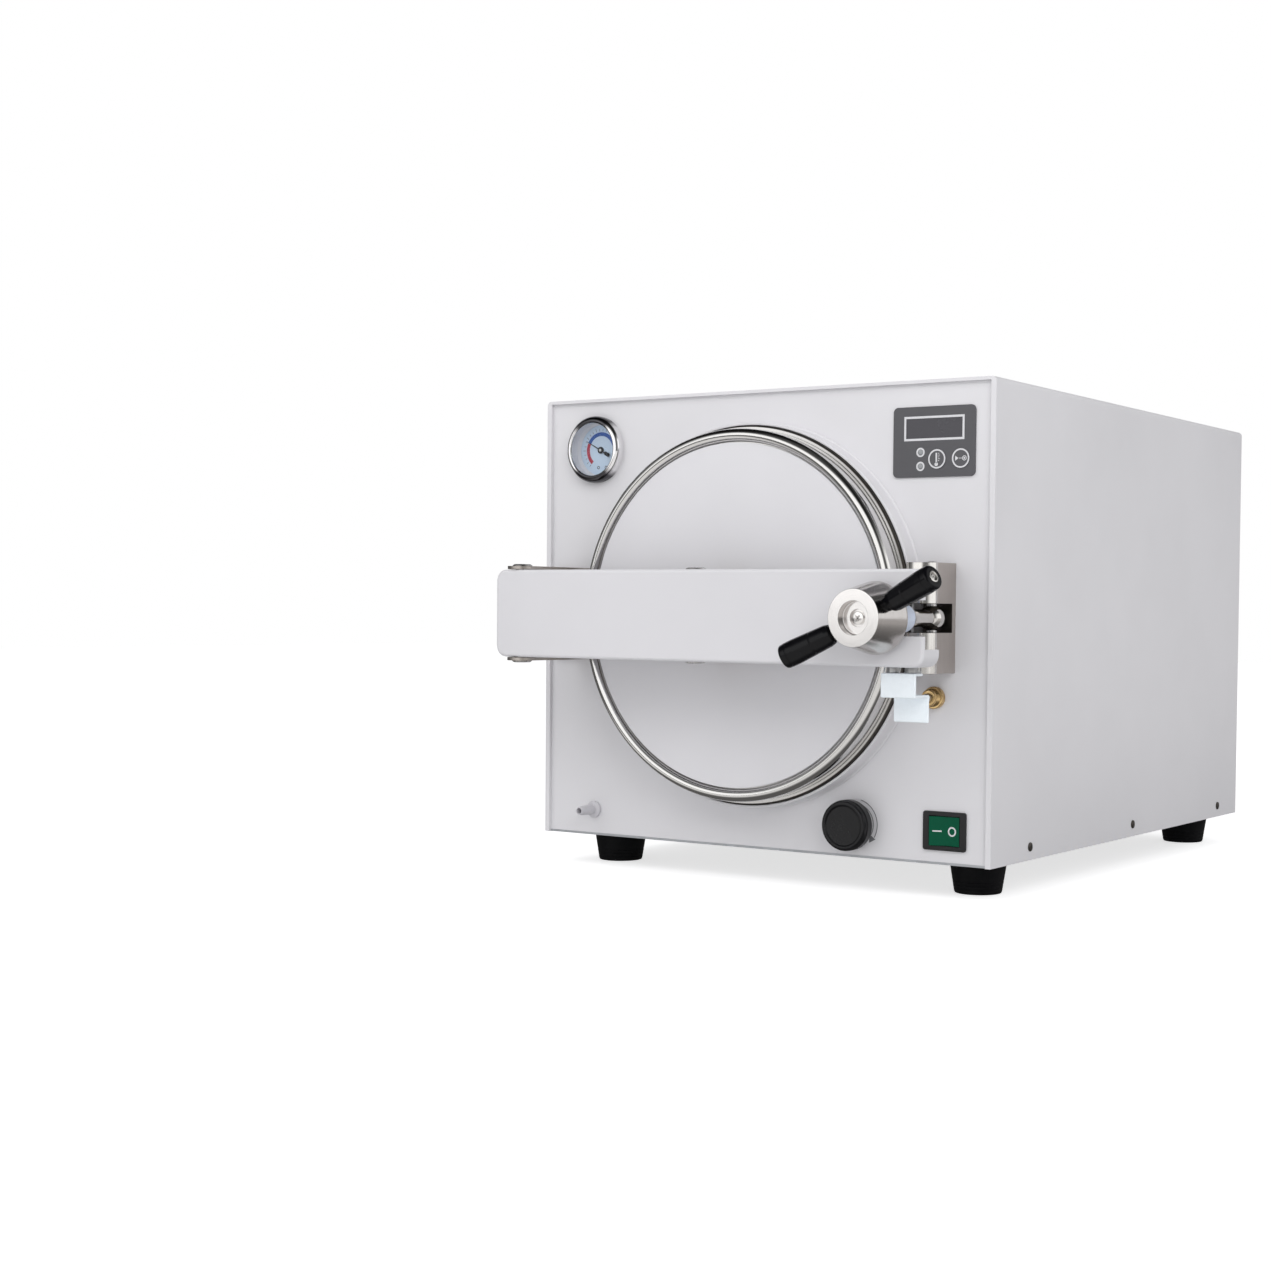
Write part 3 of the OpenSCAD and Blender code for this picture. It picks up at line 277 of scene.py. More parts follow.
# %% Paint the sky
SCREENS = [  # degrees round the room from straight ahead, and the tone there
    (-180, 0.34), (-150, 0.08), (-84, 0.08), (-60, 0.16), (-48, 0.45), (-37, 1.0), (16, 1.0), (28, 0.30),
    (36, 0.09), (58, 0.09), (70, 0.50), (84, 0.95), (126, 0.95), (150, 0.42), (180, 0.34)]
HEIGHTS = [(0.0, 1.0), (0.46, 1.0), (0.60, 0.30), (0.72, 0.06), (1.0, 0.04)]
MIRRORED_POWER, PLAIN_POWER = 1.3, 0.63

world = bpy.data.worlds.new("studio")
bpy.context.scene.world = world
world.use_nodes = True
world.node_tree.nodes.clear()
sky = Nodes(world.node_tree)
toward = sky.node("TexCoord", output="Generated")
to_right, to_rear, upward = (sky.node("SeparateXYZ", inputs={0: toward}, output=axis) for axis in "XYZ")
round_room = sky.math("ARCTAN2", to_right, to_rear * -1) * (1 / (2 * pi)) + 0.5
stops = [(0.5 + degrees / 360, tone) for degrees, tone in SCREENS]
screens = sky.node("ValToRGB", {"stops": stops}, {0: round_room})
heights = sky.node("ValToRGB", {"stops": HEIGHTS}, {0: upward})
room = sky.node("VectorMath", {"operation": "MULTIPLY"}, {0: screens, 1: heights})
mirrored = sky.node("Background", inputs={0: room, 1: MIRRORED_POWER})
plain = sky.node("Background", inputs={0: (0.985, 0.985, 1, 1), 1: PLAIN_POWER})
seen = sky.node("Background", inputs={0: (1, 1, 1, 1), 1: 1.0})
glossy, direct = (sky.node("LightPath", output=f"Is {kind} Ray") for kind in ("Glossy", "Camera"))
lit = sky.node("MixShader", inputs={0: glossy, 1: plain, 2: mirrored})
sky.node("OutputWorld", inputs={0: sky.node("MixShader", inputs={0: direct, 1: lit, 2: seen})})
bpy.context.scene.view_settings.view_transform = "Standard"
print("screens:", len(stops))

# %% [markdown]
# ## Floor
# The floor is plain and pale, and glows a little, so that it fades into the white behind it. In mirrors it has other
# tones, all painted light and shade: a painted shadow under and beside the machine, lighter at the right, and a
# painted pool of light ahead, which draws the long bright band along the door's rim.

# %% Lay the floor
PATCH_REAR, PATCH_LEFT, LIGHTER = (-0.42, -0.32), (-0.75, -0.40), (0.25, 0.9)
bpy.ops.object.select_all(action="DESELECT")
bpy.ops.mesh.primitive_plane_add(size=14, location=(0, 0, 0))
floor = bpy.context.object
floor.name = "floor"
floor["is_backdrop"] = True
pale = Finish("pale_floor", (0.74, 0.74, 0.745), emission_strength=1.0)
pale.set("Roughness", 0.55 + pale.noise(3, 2) * 0.06)
glossy, direct = (pale.node("LightPath", output=f"Is {kind} Ray") for kind in ("Glossy", "Camera"))
pale.set("Emission Color", pale.mix(direct, (0.08, 0.08, 0.08), (0.68, 0.68, 0.68)))
to_right, to_rear = (pale.node("SeparateXYZ", inputs={0: pale.surface}, output=axis) for axis in "XY")
# Seen in mirrors only: a painted shadow near the machine, and a painted pool of light ahead of it.
painted_light_patch = (1 - pale.between(to_rear, *PATCH_REAR)) * pale.between(to_right, *PATCH_LEFT)
tone = pale.mix(pale.between(to_right, *LIGHTER), (0.12, 0.117, 0.115), (0.55, 0.53, 0.52))
tone = pale.mix(painted_light_patch, tone, (0.86, 0.85, 0.84))
painted_floor_mirror = pale.node("Emission", inputs={"Color": tone})
plain = Value(pale, pale.shader.outputs[0])
both = pale.node("MixShader", inputs={0: glossy, 1: plain, 2: painted_floor_mirror})
pale.feed(pale.tree.nodes["Material Output"].inputs[0], both)
floor.data.materials.append(pale.material)
print("floor:", [round(x, 2) for x in floor.dimensions])

# %% [markdown]
# ## White powder coat
# The cover, the panels and the crossbar are sheet steel under a baked powder coat: nearly white, a little cool, with
# a fine orange-peel skin. Broad, faint clouds and a few wiped smears keep large flat sheets from looking like paper.

# %% Powder coat
def powder_coat(name, colour, grain):
    paint = Finish(name, colour)
    cloud = paint.between(paint.noise(7, 3), 0.3, 0.7)
    smear = paint.between(paint.noise(22, 4, 0.6, paint.stretched((1, 1, 0.35))), 0.56, 0.74)
    peel = paint.noise(1100, 2, 0.45) + paint.noise(160, 1, 0.4) * 0.8
    paint.set("Base Color", paint.mix(cloud, colour, dimmed(colour, 0.94)))
    paint.set("Roughness", 0.34 + paint.noise(90, 3) * 0.08 + smear * 0.06)
    paint.set("Normal", paint.bump(peel, grain, 0.00012))


powder_coat("white_coat", (0.735, 0.728, 0.748), 0.10)
# The crossbar and the door disc have the same white coat, painted a little darker as painted shade.
powder_coat("bar_coat", (0.700, 0.693, 0.715), 0.06)
powder_coat("disc_coat", (0.720, 0.713, 0.735), 0.07)
print("finishes:", len(finishes))

# %% [markdown]
# ## Polished and brushed steel
# The door's rim, the mouth flange and the hub are turned and polished: a lathe leaves rings that follow the axis, so
# the scratches are noise drawn out round it. Bent or milled steel has a straight grain instead.

# %% Turned steel
def turned_steel(name, colour, centre, rough, marks):
    steel = Finish(name, colour, metallic=1.0)
    radius, angle = steel.rings(centre)
    line = steel.noise(1.0, 3, 0.65, steel.node("CombineXYZ", inputs={0: radius * 2600, 1: angle * 1.4}))
    haze = steel.between(steel.noise(30, 3, 0.6), 0.45, 0.75)
    steel.set("Roughness", rough + line * 0.07 + haze * 0.08)
    steel.set("Base Color", steel.mix(line, colour, dimmed(colour, 0.86)))
    steel.set("Normal", steel.bump(line, marks, 0.00006))


turned_steel("rim_steel", (0.78, 0.77, 0.755), door, 0.06, 0.03)
turned_steel("flange_steel", (0.72, 0.71, 0.70), door, 0.12, 0.05)
turned_steel("vessel_steel", (0.60, 0.59, 0.575), door, 0.24, 0.10)
# The hub's two steels are shaded and lit copies: painted shade on the cone, painted light on the faces to the front.
turned_steel("hub_steel", (0.60, 0.575, 0.56), clamp, 0.14, 0.02)
turned_steel("hub_face", (0.93, 0.905, 0.89), clamp, 0.12, 0.02)
turned_steel("bezel_chrome", (0.80, 0.80, 0.81), gauge, 0.05, 0.02)
print("finishes:", len(finishes))

# %% [markdown]
# ## Chrome of the gauge
# The gauge's ring is dark at its crown and its foot and bright at its sides, because a room is dark above and below.
# It is too small to catch that from the screens, so that reflection is painted into its colour: the tone follows the
# angle round the ring.

# %% Paint the reflection round the ring
chrome = finishes["bezel_chrome"]
crown = chrome.math("SINE", chrome.rings(gauge)[1])
painted_reflection_mask = chrome.between(crown * crown, 0.40, 0.66)
# Bright sides, dark crown and foot: a painted reflection.
chrome.set("Base Color", chrome.mix(painted_reflection_mask, (0.90, 0.89, 0.90), (0.09, 0.088, 0.095)))
print("toned:", chrome.material.name)

# %% [markdown]
# ## Ground steel and zinc
# Bars and sheet are ground or drawn along one axis, and the scratches follow it. Zinc plating is pale blue, with the
# faint facets of its crystals. On the interlock plate it is much lighter than on the base, as painted light.

# %% Ground steel and zinc
def grained_steel(name, colour, along, rough, marks):
    steel = Finish(name, colour, metallic=1.0)
    line = steel.noise(3, 4, 0.6, steel.stretched([3 if axis == along else 420 for axis in "XYZ"]))
    haze = steel.between(steel.noise(38, 3, 0.6), 0.4, 0.75)
    steel.set("Roughness", rough + line * 0.14 + haze * 0.08)
    steel.set("Base Color", steel.mix(line, colour, dimmed(colour, 0.82)))
    steel.set("Normal", steel.bump(line, marks, 0.00008))


def zinc(name, colour, metallic, spangle, facets):
    plate = Finish(name, colour, metallic=metallic)
    facet = plate.node("TexVoronoi", inputs={"Vector": plate.surface, "Scale": spangle}, output="Color")
    tone = plate.node("SeparateColor", inputs={0: facet})
    plate.set("Base Color", plate.mix(tone, colour, dimmed(colour, 1 - facets)))
    plate.set("Roughness", 0.34 + tone * 0.10 + plate.noise(60, 3) * 0.08)
    plate.set("Normal", plate.bump(plate.noise(700, 3), 0.06, 0.0001))


grained_steel("bracket_steel", (0.55, 0.505, 0.47), "Z", 0.26, 0.08)
grained_steel("nose_steel", (0.80, 0.78, 0.75), "Z", 0.05, 0.02)
# A dark steel that stands for painted shade in slots, gaps and edges.
grained_steel("slot_steel", (0.11, 0.10, 0.09), "Z", 0.34, 0.03)
grained_steel("pin_steel", (0.70, 0.69, 0.68), "Z", 0.18, 0.04)
grained_steel("screw_steel", (0.72, 0.72, 0.73), "X", 0.24, 0.05)
grained_steel("wire_steel", (0.74, 0.74, 0.74), "Y", 0.14, 0.03)
grained_steel("tray_steel", (0.70, 0.70, 0.70), "Y", 0.30, 0.08)
grained_steel("rod_steel", (0.50, 0.50, 0.50), "Y", 0.25, 0.04)
# On the interlock plate the zinc is painted much lighter than on the base, as painted light against the crossbar's
# shade.
zinc("zinc_plate", (0.90, 0.96, 1.0), 0.10, 320, 0.03)
zinc("zinc_base", (0.58, 0.60, 0.63), 0.85, 60, 0.10)
print("finishes:", len(finishes))

# %% [markdown]
# ## Plastics, rubber, ink and glass
# Moulded plastic has a fine spark-eroded grain and a soft sheen, rubber is rougher and picks up dust, and the knob,
# grips, switch and inks differ only in tone and gloss, so one recipe makes them all. Deep black needs a weak
# highlight, or the bright room turns it grey.

# %% Plastics
def moulded(name, colour, rough, grain, dust=0.0, highlight=0.5):
    plastic = Finish(name, colour, specular_ior_level=highlight)
    haze = plastic.noise(45, 4, 0.6)
    dusty = plastic.between(haze, 0.5, 0.8) * dust
    plastic.set("Base Color", plastic.mix(dusty, colour, (0.34, 0.33, 0.32)))
    plastic.set("Roughness", rough + plastic.between(haze, 0.35, 0.75) * 0.10)
    plastic.set("Normal", plastic.bump(plastic.noise(1500, 2, 0.5), grain, 0.00012))


MOULDED = {  # colour, roughness, grain, dust, highlight
    "grip_black": ((0.003, 0.003, 0.004), 0.13, 0.02, 0.005, 0.20),
    "knob_black": ((0.008, 0.008, 0.009), 0.22, 0.06, 0.02, 0.3),
    "switch_black": ((0.009, 0.009, 0.010), 0.34, 0.08, 0.02, 0.4),
    "inlet_black": ((0.016, 0.016, 0.017), 0.42, 0.12, 0.05),
    "case_black": ((0.030, 0.030, 0.032), 0.45, 0.10),
    "needle_black": ((0.015, 0.016, 0.020), 0.40, 0.02),
    "foot_rubber": ((0.004, 0.004, 0.005), 0.52, 0.18, 0.02, 0.2),
    "gasket_rubber": ((0.030, 0.028, 0.028), 0.55, 0.20, 0.05),
    "rocker_green": ((0.001, 0.078, 0.038), 0.20, 0.02, 0.0, 0.10),
    "overlay_film": ((0.098, 0.097, 0.104), 0.46, 0.16, 0.02, 0.3),
    "window_smoke": ((0.073, 0.071, 0.079), 0.20, 0.01, 0.0, 0.25),
    "key_film": ((0.102, 0.101, 0.108), 0.44, 0.16, 0.02, 0.3),
    "lamp_lens": ((0.30, 0.31, 0.32), 0.20, 0.02),
    "nylon": ((0.66, 0.73, 0.86), 0.34, 0.05),
    "spigot_grey": ((0.58, 0.57, 0.60), 0.32, 0.05),
    "board_green": ((0.020, 0.140, 0.060), 0.32, 0.04),
    "dial_face": ((0.58, 0.69, 0.82), 0.50, 0.03),
    "liner_white": ((0.74, 0.735, 0.76), 0.40, 0.04),
    "ink_white": ((0.66, 0.66, 0.68), 0.42, 0.06),
    "ink_grey": ((0.16, 0.16, 0.17), 0.48, 0.04),
    "ink_black": ((0.035, 0.035, 0.045), 0.48, 0.03),
    "ink_red": ((0.46, 0.055, 0.085), 0.48, 0.03),
    "ink_blue": ((0.045, 0.115, 0.40), 0.48, 0.03),
}
for name, recipe in MOULDED.items():
    moulded(name, *recipe)
finishes["lamp_lens"].set("Coat Weight", 0.3)
Finish("clear_glass", (0.97, 0.985, 1.0), roughness=0.02, transmission_weight=1.0, ior=1.12)
print("finishes:", len(finishes))

# %% [markdown]
# ## Brass, copper and what is behind the panels
# Machined brass is yellow and shiny with darker tarnish in places, copper tube is redder. The wool jacket is soft and
# fibrous, and the heater is a mica band with a dull metal skin.

# %% Brass, copper, mica and wool
def tarnished(name, colour, stain, rough):
    metal = Finish(name, colour, metallic=1.0)
    patch = metal.between(metal.noise(120, 4, 0.65), 0.42, 0.72)
    metal.set("Base Color", metal.mix(patch, colour, stain))
    metal.set("Roughness", rough + patch * 0.18)
    metal.set("Normal", metal.bump(metal.noise(900, 2), 0.05, 0.0001))


tarnished("brass", (0.80, 0.57, 0.28), (0.46, 0.30, 0.13), 0.20)
tarnished("copper", (0.78, 0.42, 0.27), (0.40, 0.20, 0.13), 0.24)
tarnished("mica", (0.42, 0.38, 0.33), (0.28, 0.25, 0.22), 0.42)
wool = Finish("wool", (0.74, 0.71, 0.60), roughness=0.95)
fibre = wool.noise(260, 5, 0.7, wool.stretched((1, 0.25, 1)), 1.5)
wool.set("Base Color", wool.mix(fibre, (0.80, 0.77, 0.66), (0.56, 0.52, 0.42)))
wool.set("Normal", wool.bump(fibre, 0.6, 0.002))
print("finishes:", len(finishes))

# %% [markdown]
# ## A finish for every solid
# Each solid takes its finish here. Those that a finer piece replaces later are hidden then, and keep this one.

# %% Dress the solids
DRESS = {
    "white_coat": "outer_cover front_panel rear_panel mouth_trim",
    "bar_coat": "door_bar",
    "disc_coat": "door_face",
    "zinc_base": "base_plate vessel_saddles",
    "zinc_plate": "interlock_plate",
    "foot_rubber": "rubber_feet",
    "gasket_rubber": "door_gasket",
    "screw_steel": "side_screws hub_screw grip_screws",
    "pin_steel": "hinge_pin pivot_pin eye_pin safety_ring plunger_pin",
    "nose_steel": "eye_stud",
    "flange_steel": "chamber_flange",
    "rim_steel": "door_dish",
    "bracket_steel": "clamp_bracket door_boss hinge_bracket",
    "hub_steel": "hub thrust_washer",
    "bezel_chrome": "gauge_bezel",
    "vessel_steel": "pressure_vessel probe_sheaths",
    "tray_steel": "bottom_plate tray_upper tray_lower",
    "wire_steel": "tray_rack",
    "rod_steel": "clamp_rod",
    "mica": "heater_band",
    "wool": "insulation",
    "case_black": "gauge_case transformer",
    "dial_face": "gauge_dial",
    "needle_black": "gauge_needle",
    "clear_glass": "gauge_glass",
    "overlay_film": "control_overlay",
    "window_smoke": "display_window",
    "key_film": "key_program key_start",
    "lamp_lens": "status_lamps",
    "board_green": "control_board",
    "switch_black": "switch_frame",
    "inlet_black": "mains_inlet fuse_holders",
    "knob_black": "vent_knob",
    "grip_black": "grips",
    "rocker_green": "rocker",
    "brass": "vent_valve safety_valve plunger_bush",
    "spigot_grey": "drain_spigot",
    "copper": "pipes",
    "nylon": "thrust_sleeve",
}
bare = set(solids)
for coat, names in DRESS.items():
    for name in names.split():
        solids[name].data.materials.clear()
        solids[name].data.materials.append(finishes[coat].material)
        bare.remove(name)
print("solids without a finish:", sorted(bare))

# %% [markdown]
# ## Three ways to make a piece
# Most of this machine is lathe work, bent sheet or milled bar. Lathe work is drawn as a profile and spun. Sheet and
# bar start from a copy of their plain solid, which is merged, freed of needless edges and bevelled, because no real
# edge is perfectly sharp and a thin bright line along it is what makes metal look like metal. The third way, for
# printed marks, is a flat outline that gets the thickness of a coat of ink.

# %% Pick a piece, and pick parts of it
def take(piece):
    """Makes a piece the only selected object."""
    if bpy.context.mode != "OBJECT":
        bpy.ops.object.mode_set(mode="OBJECT")
    bpy.ops.object.select_all(action="DESELECT")
    if piece:
        piece.select_set(True)
        bpy.context.view_layer.objects.active = piece
    return piece


def pick(kind, test):
    """In edit mode, selects the faces, edges or points that pass a test."""
    bpy.ops.mesh.select_mode(type=kind)
    bpy.ops.mesh.select_all(action="DESELECT")
    shape = bmesh.from_edit_mesh(bpy.context.edit_object.data)
    for part in {"FACE": shape.faces, "EDGE": shape.edges, "VERT": shape.verts}[kind]:
        if test(part):
            part.select_set(True)
    bmesh.update_edit_mesh(bpy.context.edit_object.data)


def extruded(by):
    """In edit mode, extrudes what is selected along a vector."""
    bpy.ops.mesh.extrude_region_move(TRANSFORM_OT_translate={"value": by})


def closed(piece, gap=0.0):
    """Ends edit mode: merges points that are closer than a gap and turns all faces outwards."""
    bpy.ops.mesh.select_all(action="SELECT")
    if gap:
        bpy.ops.mesh.remove_doubles(threshold=gap)
    bpy.ops.mesh.normals_make_consistent(inside=False)
    bpy.ops.object.mode_set(mode="OBJECT")
    return piece


print("ready to pick")

# %% Finish a piece
def modified(piece, kind, **settings):
    """Adds a modifier and applies it at once."""
    take(piece)
    modifier = piece.modifiers.new(kind.lower(), kind)
    for key, value in settings.items():
        setattr(modifier, key, value)
    bpy.ops.object.modifier_apply(modifier=modifier.name)
    return piece


def smooth(piece, degrees=38, even=False):
    take(piece)
    bpy.ops.object.shade_smooth_by_angle(angle=radians(degrees))
    return modified(piece, "WEIGHTED_NORMAL", keep_sharp=True) if even else piece


def placed(piece):
    """Leaves a piece's place, turn and scale in its mesh."""
    take(piece)
    bpy.ops.object.transform_apply(location=True, rotation=True, scale=True)
    return piece


def settle(piece, body, slot, coat, *replaced):
    """The last step of each piece: its place goes into its mesh, and it gets a finish and something to ride on."""
    placed(piece)
    piece.data.name = piece.name
    piece.data.materials.clear()
    piece.data.materials.append(finishes[coat].material)
    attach(piece, body)
    if replaced:
        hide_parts(*replaced)
    print(piece.name, len(piece.data.polygons), "faces on", body)
    return piece


print("ready to finish pieces")

# %% Lathe work
def filleted(corners, steps=5):
    """A profile whose corners (radius, distance, fillet) are rounded. A corner without a fillet stays sharp."""
    drawn = []
    for i, corner in enumerate(corners):
        at, size = Vector(corner[:2]), corner[2] if len(corner) > 2 else 0
        if not size or i in (0, len(corners) - 1):
            drawn.append(at)
            continue
        before, after = Vector(corners[i - 1][:2]) - at, Vector(corners[i + 1][:2]) - at
        half = before.angle(after) / 2
        reach = min(size / tan(half), before.length * 0.49, after.length * 0.49)
        size = reach * tan(half)
        hub = at + (before.normalized() + after.normalized()).normalized() * size / sin(half)
        start, end = at + before.normalized() * reach - hub, at + after.normalized() * reach - hub
        sweep = start.angle_signed(end)
        drawn += [hub + Matrix.Rotation(-sweep * k / steps, 2) @ start for k in range(steps + 1)]
    return [tuple(p) for p in drawn]


def polyline(name, points, ring=False):
    """A wire through points: a plane shrunk to one point, which is then extruded from place to place."""
    take(None)
    bpy.ops.mesh.primitive_plane_add(size=0.001, location=(0, 0, 0))
    piece = bpy.context.object
    piece.name = name
    bpy.ops.object.mode_set(mode="EDIT")
    bpy.ops.mesh.select_mode(type="VERT")
    bpy.ops.mesh.select_all(action="SELECT")
    bpy.ops.mesh.merge(type="CENTER")
    bpy.ops.transform.translate(value=points[0])
    for a, b in zip(points, points[1:]):
        extruded(b - a)
    if ring:
        extruded(points[0] - points[-1])
        bpy.ops.mesh.select_all(action="SELECT")
        bpy.ops.mesh.remove_doubles(threshold=1e-7)
    return piece


def turned(name, profile, centre, along=TO_FRONT, steps=96, angle=38):
    """Spins a profile of (radius, distance) in millimetres round an axis through a point."""
    out = along.orthogonal().normalized()
    piece = polyline(name, [centre + (out * r + along * t) * MM for r, t in profile])
    bpy.ops.mesh.select_all(action="SELECT")
    bpy.ops.mesh.spin(steps=steps, angle=2 * pi, center=centre, axis=along)
    return smooth(closed(piece, 2e-6), angle, even=True)


print("ready to turn")

# %% Sheet and bar
def merged(node, name):
    """A copy of a solid's mesh as one closed skin of large faces."""
    piece = bpy.data.objects.new(name, solids[node].data.copy())
    bpy.context.collection.objects.link(piece)
    take(piece)
    bpy.ops.mesh.customdata_custom_splitnormals_clear()
    bpy.ops.object.mode_set(mode="EDIT")
    bpy.ops.mesh.select_all(action="SELECT")
    bpy.ops.mesh.remove_doubles(threshold=4e-6)
    bpy.ops.mesh.dissolve_limited(angle_limit=radians(0.8))
    bpy.ops.object.mode_set(mode="OBJECT")
    return piece


def rounded(piece, width, segments, angle=35):
    """Rounds every sharp edge of a piece."""
    modified(piece, "BEVEL", width=width * MM, segments=segments, limit_method="ANGLE",
             angle_limit=radians(angle))
    return smooth(piece, 40, even=True)


def softened(node, name, width, segments, *ride):
    """Replaces a solid by its merged copy with rounded edges. The ride is a body, a slot and a finish; the slot is not
    used.
    """
    return settle(rounded(merged(node, name), width, segments), *ride, node)


print("ready to soften solids")

# %% Printed marks
INK = 0.06


def pointing(degrees):
    """A direction along the front, in degrees from the right, anticlockwise."""
    return Vector((cos(radians(degrees)), 0, sin(radians(degrees))))


def printed(piece, depth=INK):
    """Fills a closed outline and gives it the thickness of ink, from the surface to the front."""
    bpy.ops.mesh.select_all(action="SELECT")
    bpy.ops.mesh.edge_face_add()
    extruded(TO_FRONT * depth * MM)
    return closed(piece)


def ring_mark(name, centre, inner, outer, first=0, last=360, steps=48):
    """A printed ring or arc on an upright surface, in millimetres and in degrees from the right, anticlockwise."""
    near, far = (centre + pointing(first) * r * MM for r in (inner, outer))
    lift = TO_FRONT * INK * MM
    piece = polyline(name, [far, far + lift, near + lift, near], ring=True)
    if last - first < 360:
        bpy.ops.mesh.edge_face_add()
    bpy.ops.mesh.spin(steps=steps, angle=radians(last - first), center=centre, axis=TO_REAR)
    return closed(piece, 1e-6)


def joined(name, pieces):
    """Several meshes as one piece."""
    take(pieces[0])
    for piece in pieces[1:]:
        piece.select_set(True)
    bpy.ops.object.join()
    pieces[0].name = name
    return pieces[0]


print("ready to print marks with ink", INK, "mm thick")

# %% [markdown]
# ## Door rim and disc
# The rim is one turned ring with a half-round bead on its front edge, polished until it mirrors the room: bright on
# the crest, dark on both shoulders. A bead made of a few flat rings would break that reflection, so the half circle
# has sixteen steps. The white disc sits inside it with a hair of a gap, which shows as the thin dark line.

# %% Turn the rim and the disc
BEAD_HALF, BEAD_TALL, BEAD_STEPS = 5.3, 6, 16
SEAT, DISC_FACE = 10, 13.2
rim_back = at_depth(door, high("door_dish").y)
rim_r = span("door_dish", X) / 2
bead = [(rim_r - BEAD_HALF + BEAD_HALF * cos(a), SEAT + BEAD_TALL * sin(a))
        for a in (pi * k / BEAD_STEPS for k in range(BEAD_STEPS + 1))]
skirt = filleted([(0, 0), (rim_r - 4, 0), (rim_r - 4, -1.9), (rim_r, -1.9, 0.6), bead[0]])
rim = turned("door_rim", skirt + bead[1:] + [(0, SEAT)], rim_back, steps=160)
settle(rim, "door", "polished_steel", "rim_steel", "door_dish")

disc_r = rim_r - 2 * BEAD_HALF - 0.5
disc_profile = filleted([(0, SEAT), (disc_r, SEAT), (disc_r, DISC_FACE, 0.7), (0, DISC_FACE)])
disc = turned("door_disc", disc_profile, rim_back, steps=160)
settle(disc, "door", "white_paint", "disc_coat", "door_face")

# %% [markdown]
# ## Mouth flange and its trim
# The flange is the thick end of the pressure vessel, turned with it. It comes through the front panel, where a spun
# ring of painted sheet closes the gap round it. The ring's edges are rolled, so they get a small round. The flange's
# sealing face is polished, and its outer edge gets the dark steel as painted shade. So a piece may need more than one
# finish, face by face.

# %% Turn the flange and roll the trim
def faced(piece, coats, number):
    """Gives a piece more finishes, and each of its faces the finish whose number a function returns."""
    for coat in coats:
        piece.data.materials.append(finishes[coat].material)
    for face in piece.data.polygons:
        face.material_index = int(number(face))
    used = [face.material_index for face in piece.data.polygons]
    print(piece.name, "faces by finish:", [used.count(i) for i in range(len(coats) + 1)])


PAINTED_SHADE_EDGE = 148 * MM
flange_front = at_depth(door, low("chamber_flange").y)
flange_l = span("chamber_flange", Y)
flange = turned("mouth_flange", filleted([
    (127, -12), (125, -12), (125, -10, 0.6), (133, -10, 0.6), (133, 0, 0.8), (152, 0, 1.4), (152, -flange_l),
    (127, -flange_l), (127, -12)]), flange_front, steps=160)
settle(flange, "cabinet", "polished_steel", "flange_steel", "chamber_flange")
# Faces beyond the sealing face get the dark steel: painted shade.
faced(flange, ["slot_steel"], lambda face: (face.center - flange_front).xz.length > PAINTED_SHADE_EDGE)
softened("mouth_trim", "mouth_trim_rolled", 0.5, 3, "cabinet", "white_paint", "white_coat")

# %% [markdown]
# ## Crossbar
# The crossbar is a shallow pressed channel. Its front edges are pressed round, about as far as a pencil is thick,
# and the edges of its cut-outs are only broken. So the outline of the front face gets a wide bevel of its own, and
# what is still sharp gets a small one.

# %% Round the crossbar
CORNER, FORK = 9.2 * MM, 12.9 * MM
bar = merged("door_bar", "crossbar")
bar_low, bar_high, bar_z = low("door_bar"), high("door_bar"), middle("door_bar").z


def on_front_outline(edge):
    """Whether an edge lies on the front's outline: its long sides, or its ends outside the fork's gap."""
    for point in edge.verts:
        x, y, up = point.co.x, point.co.y, abs(point.co.z - bar_z)
        at_side = up > bar_high.z - bar_z - 0.1 * MM
        at_end = up > FORK and (x < bar_low.x + CORNER or x > bar_high.x - CORNER)
        if y > bar_low.y + 0.01 * MM or not (at_side or at_end):
            return False
    return True


bpy.ops.object.mode_set(mode="EDIT")
pick("EDGE", on_front_outline)
bpy.ops.mesh.bevel(offset=2.6 * MM, segments=6, affect="EDGES", clamp_overlap=True)
bpy.ops.object.mode_set(mode="OBJECT")
settle(rounded(bar, 0.7, 2, 50), "door", "white_paint", "bar_coat", "door_bar")

# %% [markdown]
# ## Boss, pins and hinge
# The boss that carries the door, the headed pins and the hinge's bracket are cut from bar and plate. Their edges are
# broken with a file, so a copy with small bevels is enough.

# %% Break the edges of the boss, the pins and the hinge
softened("door_boss", "boss_block", 1.2, 3, "door", "polished_steel", "bracket_steel")
softened("pivot_pin", "pivot_pin_turned", 0.5, 3, "door", "polished_steel", "pin_steel")
softened("hinge_pin", "hinge_pin_turned", 0.5, 3, "cabinet", "polished_steel", "pin_steel")
softened("hinge_bracket", "hinge_plate", 0.5, 3, "cabinet", "zinc_sheet", "bracket_steel")

# %% [markdown]
# ## Screws with a cross
# Screws show in several places. One is turned and gets a cross cut by two crossed bars with a Boolean. The others
# are copies of it at other sizes.

# %% Carry copies to their places, and cut
def copied(piece, name, change):
    """A copy with its own mesh, carried to its place by a matrix."""
    twin = bpy.data.objects.new(name, piece.data.copy())
    bpy.context.collection.objects.link(twin)
    twin.matrix_world = change
    return placed(twin)


def seat(place, facing, spin=0.0, size=(1, 1, 1)):
    """The matrix that carries something that looks up to a place where it looks along a direction."""
    turn = UP.rotation_difference(facing).to_matrix().to_4x4() @ Matrix.Rotation(radians(spin), 4, "Z")
    return Matrix.Translation(place) @ turn @ Matrix.Diagonal((*size, 1))


def cut(piece, tool):
    """Takes a tool's shape out of a piece, and the tool out of the scene."""
    modified(piece, "BOOLEAN", operation="DIFFERENCE", object=tool, solver="EXACT")
    bpy.data.objects.remove(tool)


print("ready to copy and cut")

# %% Make one screw
SLOT_WIDE, SLOT_DEEP, SLOT_TAPER = 0.42, 1.1, 0.55


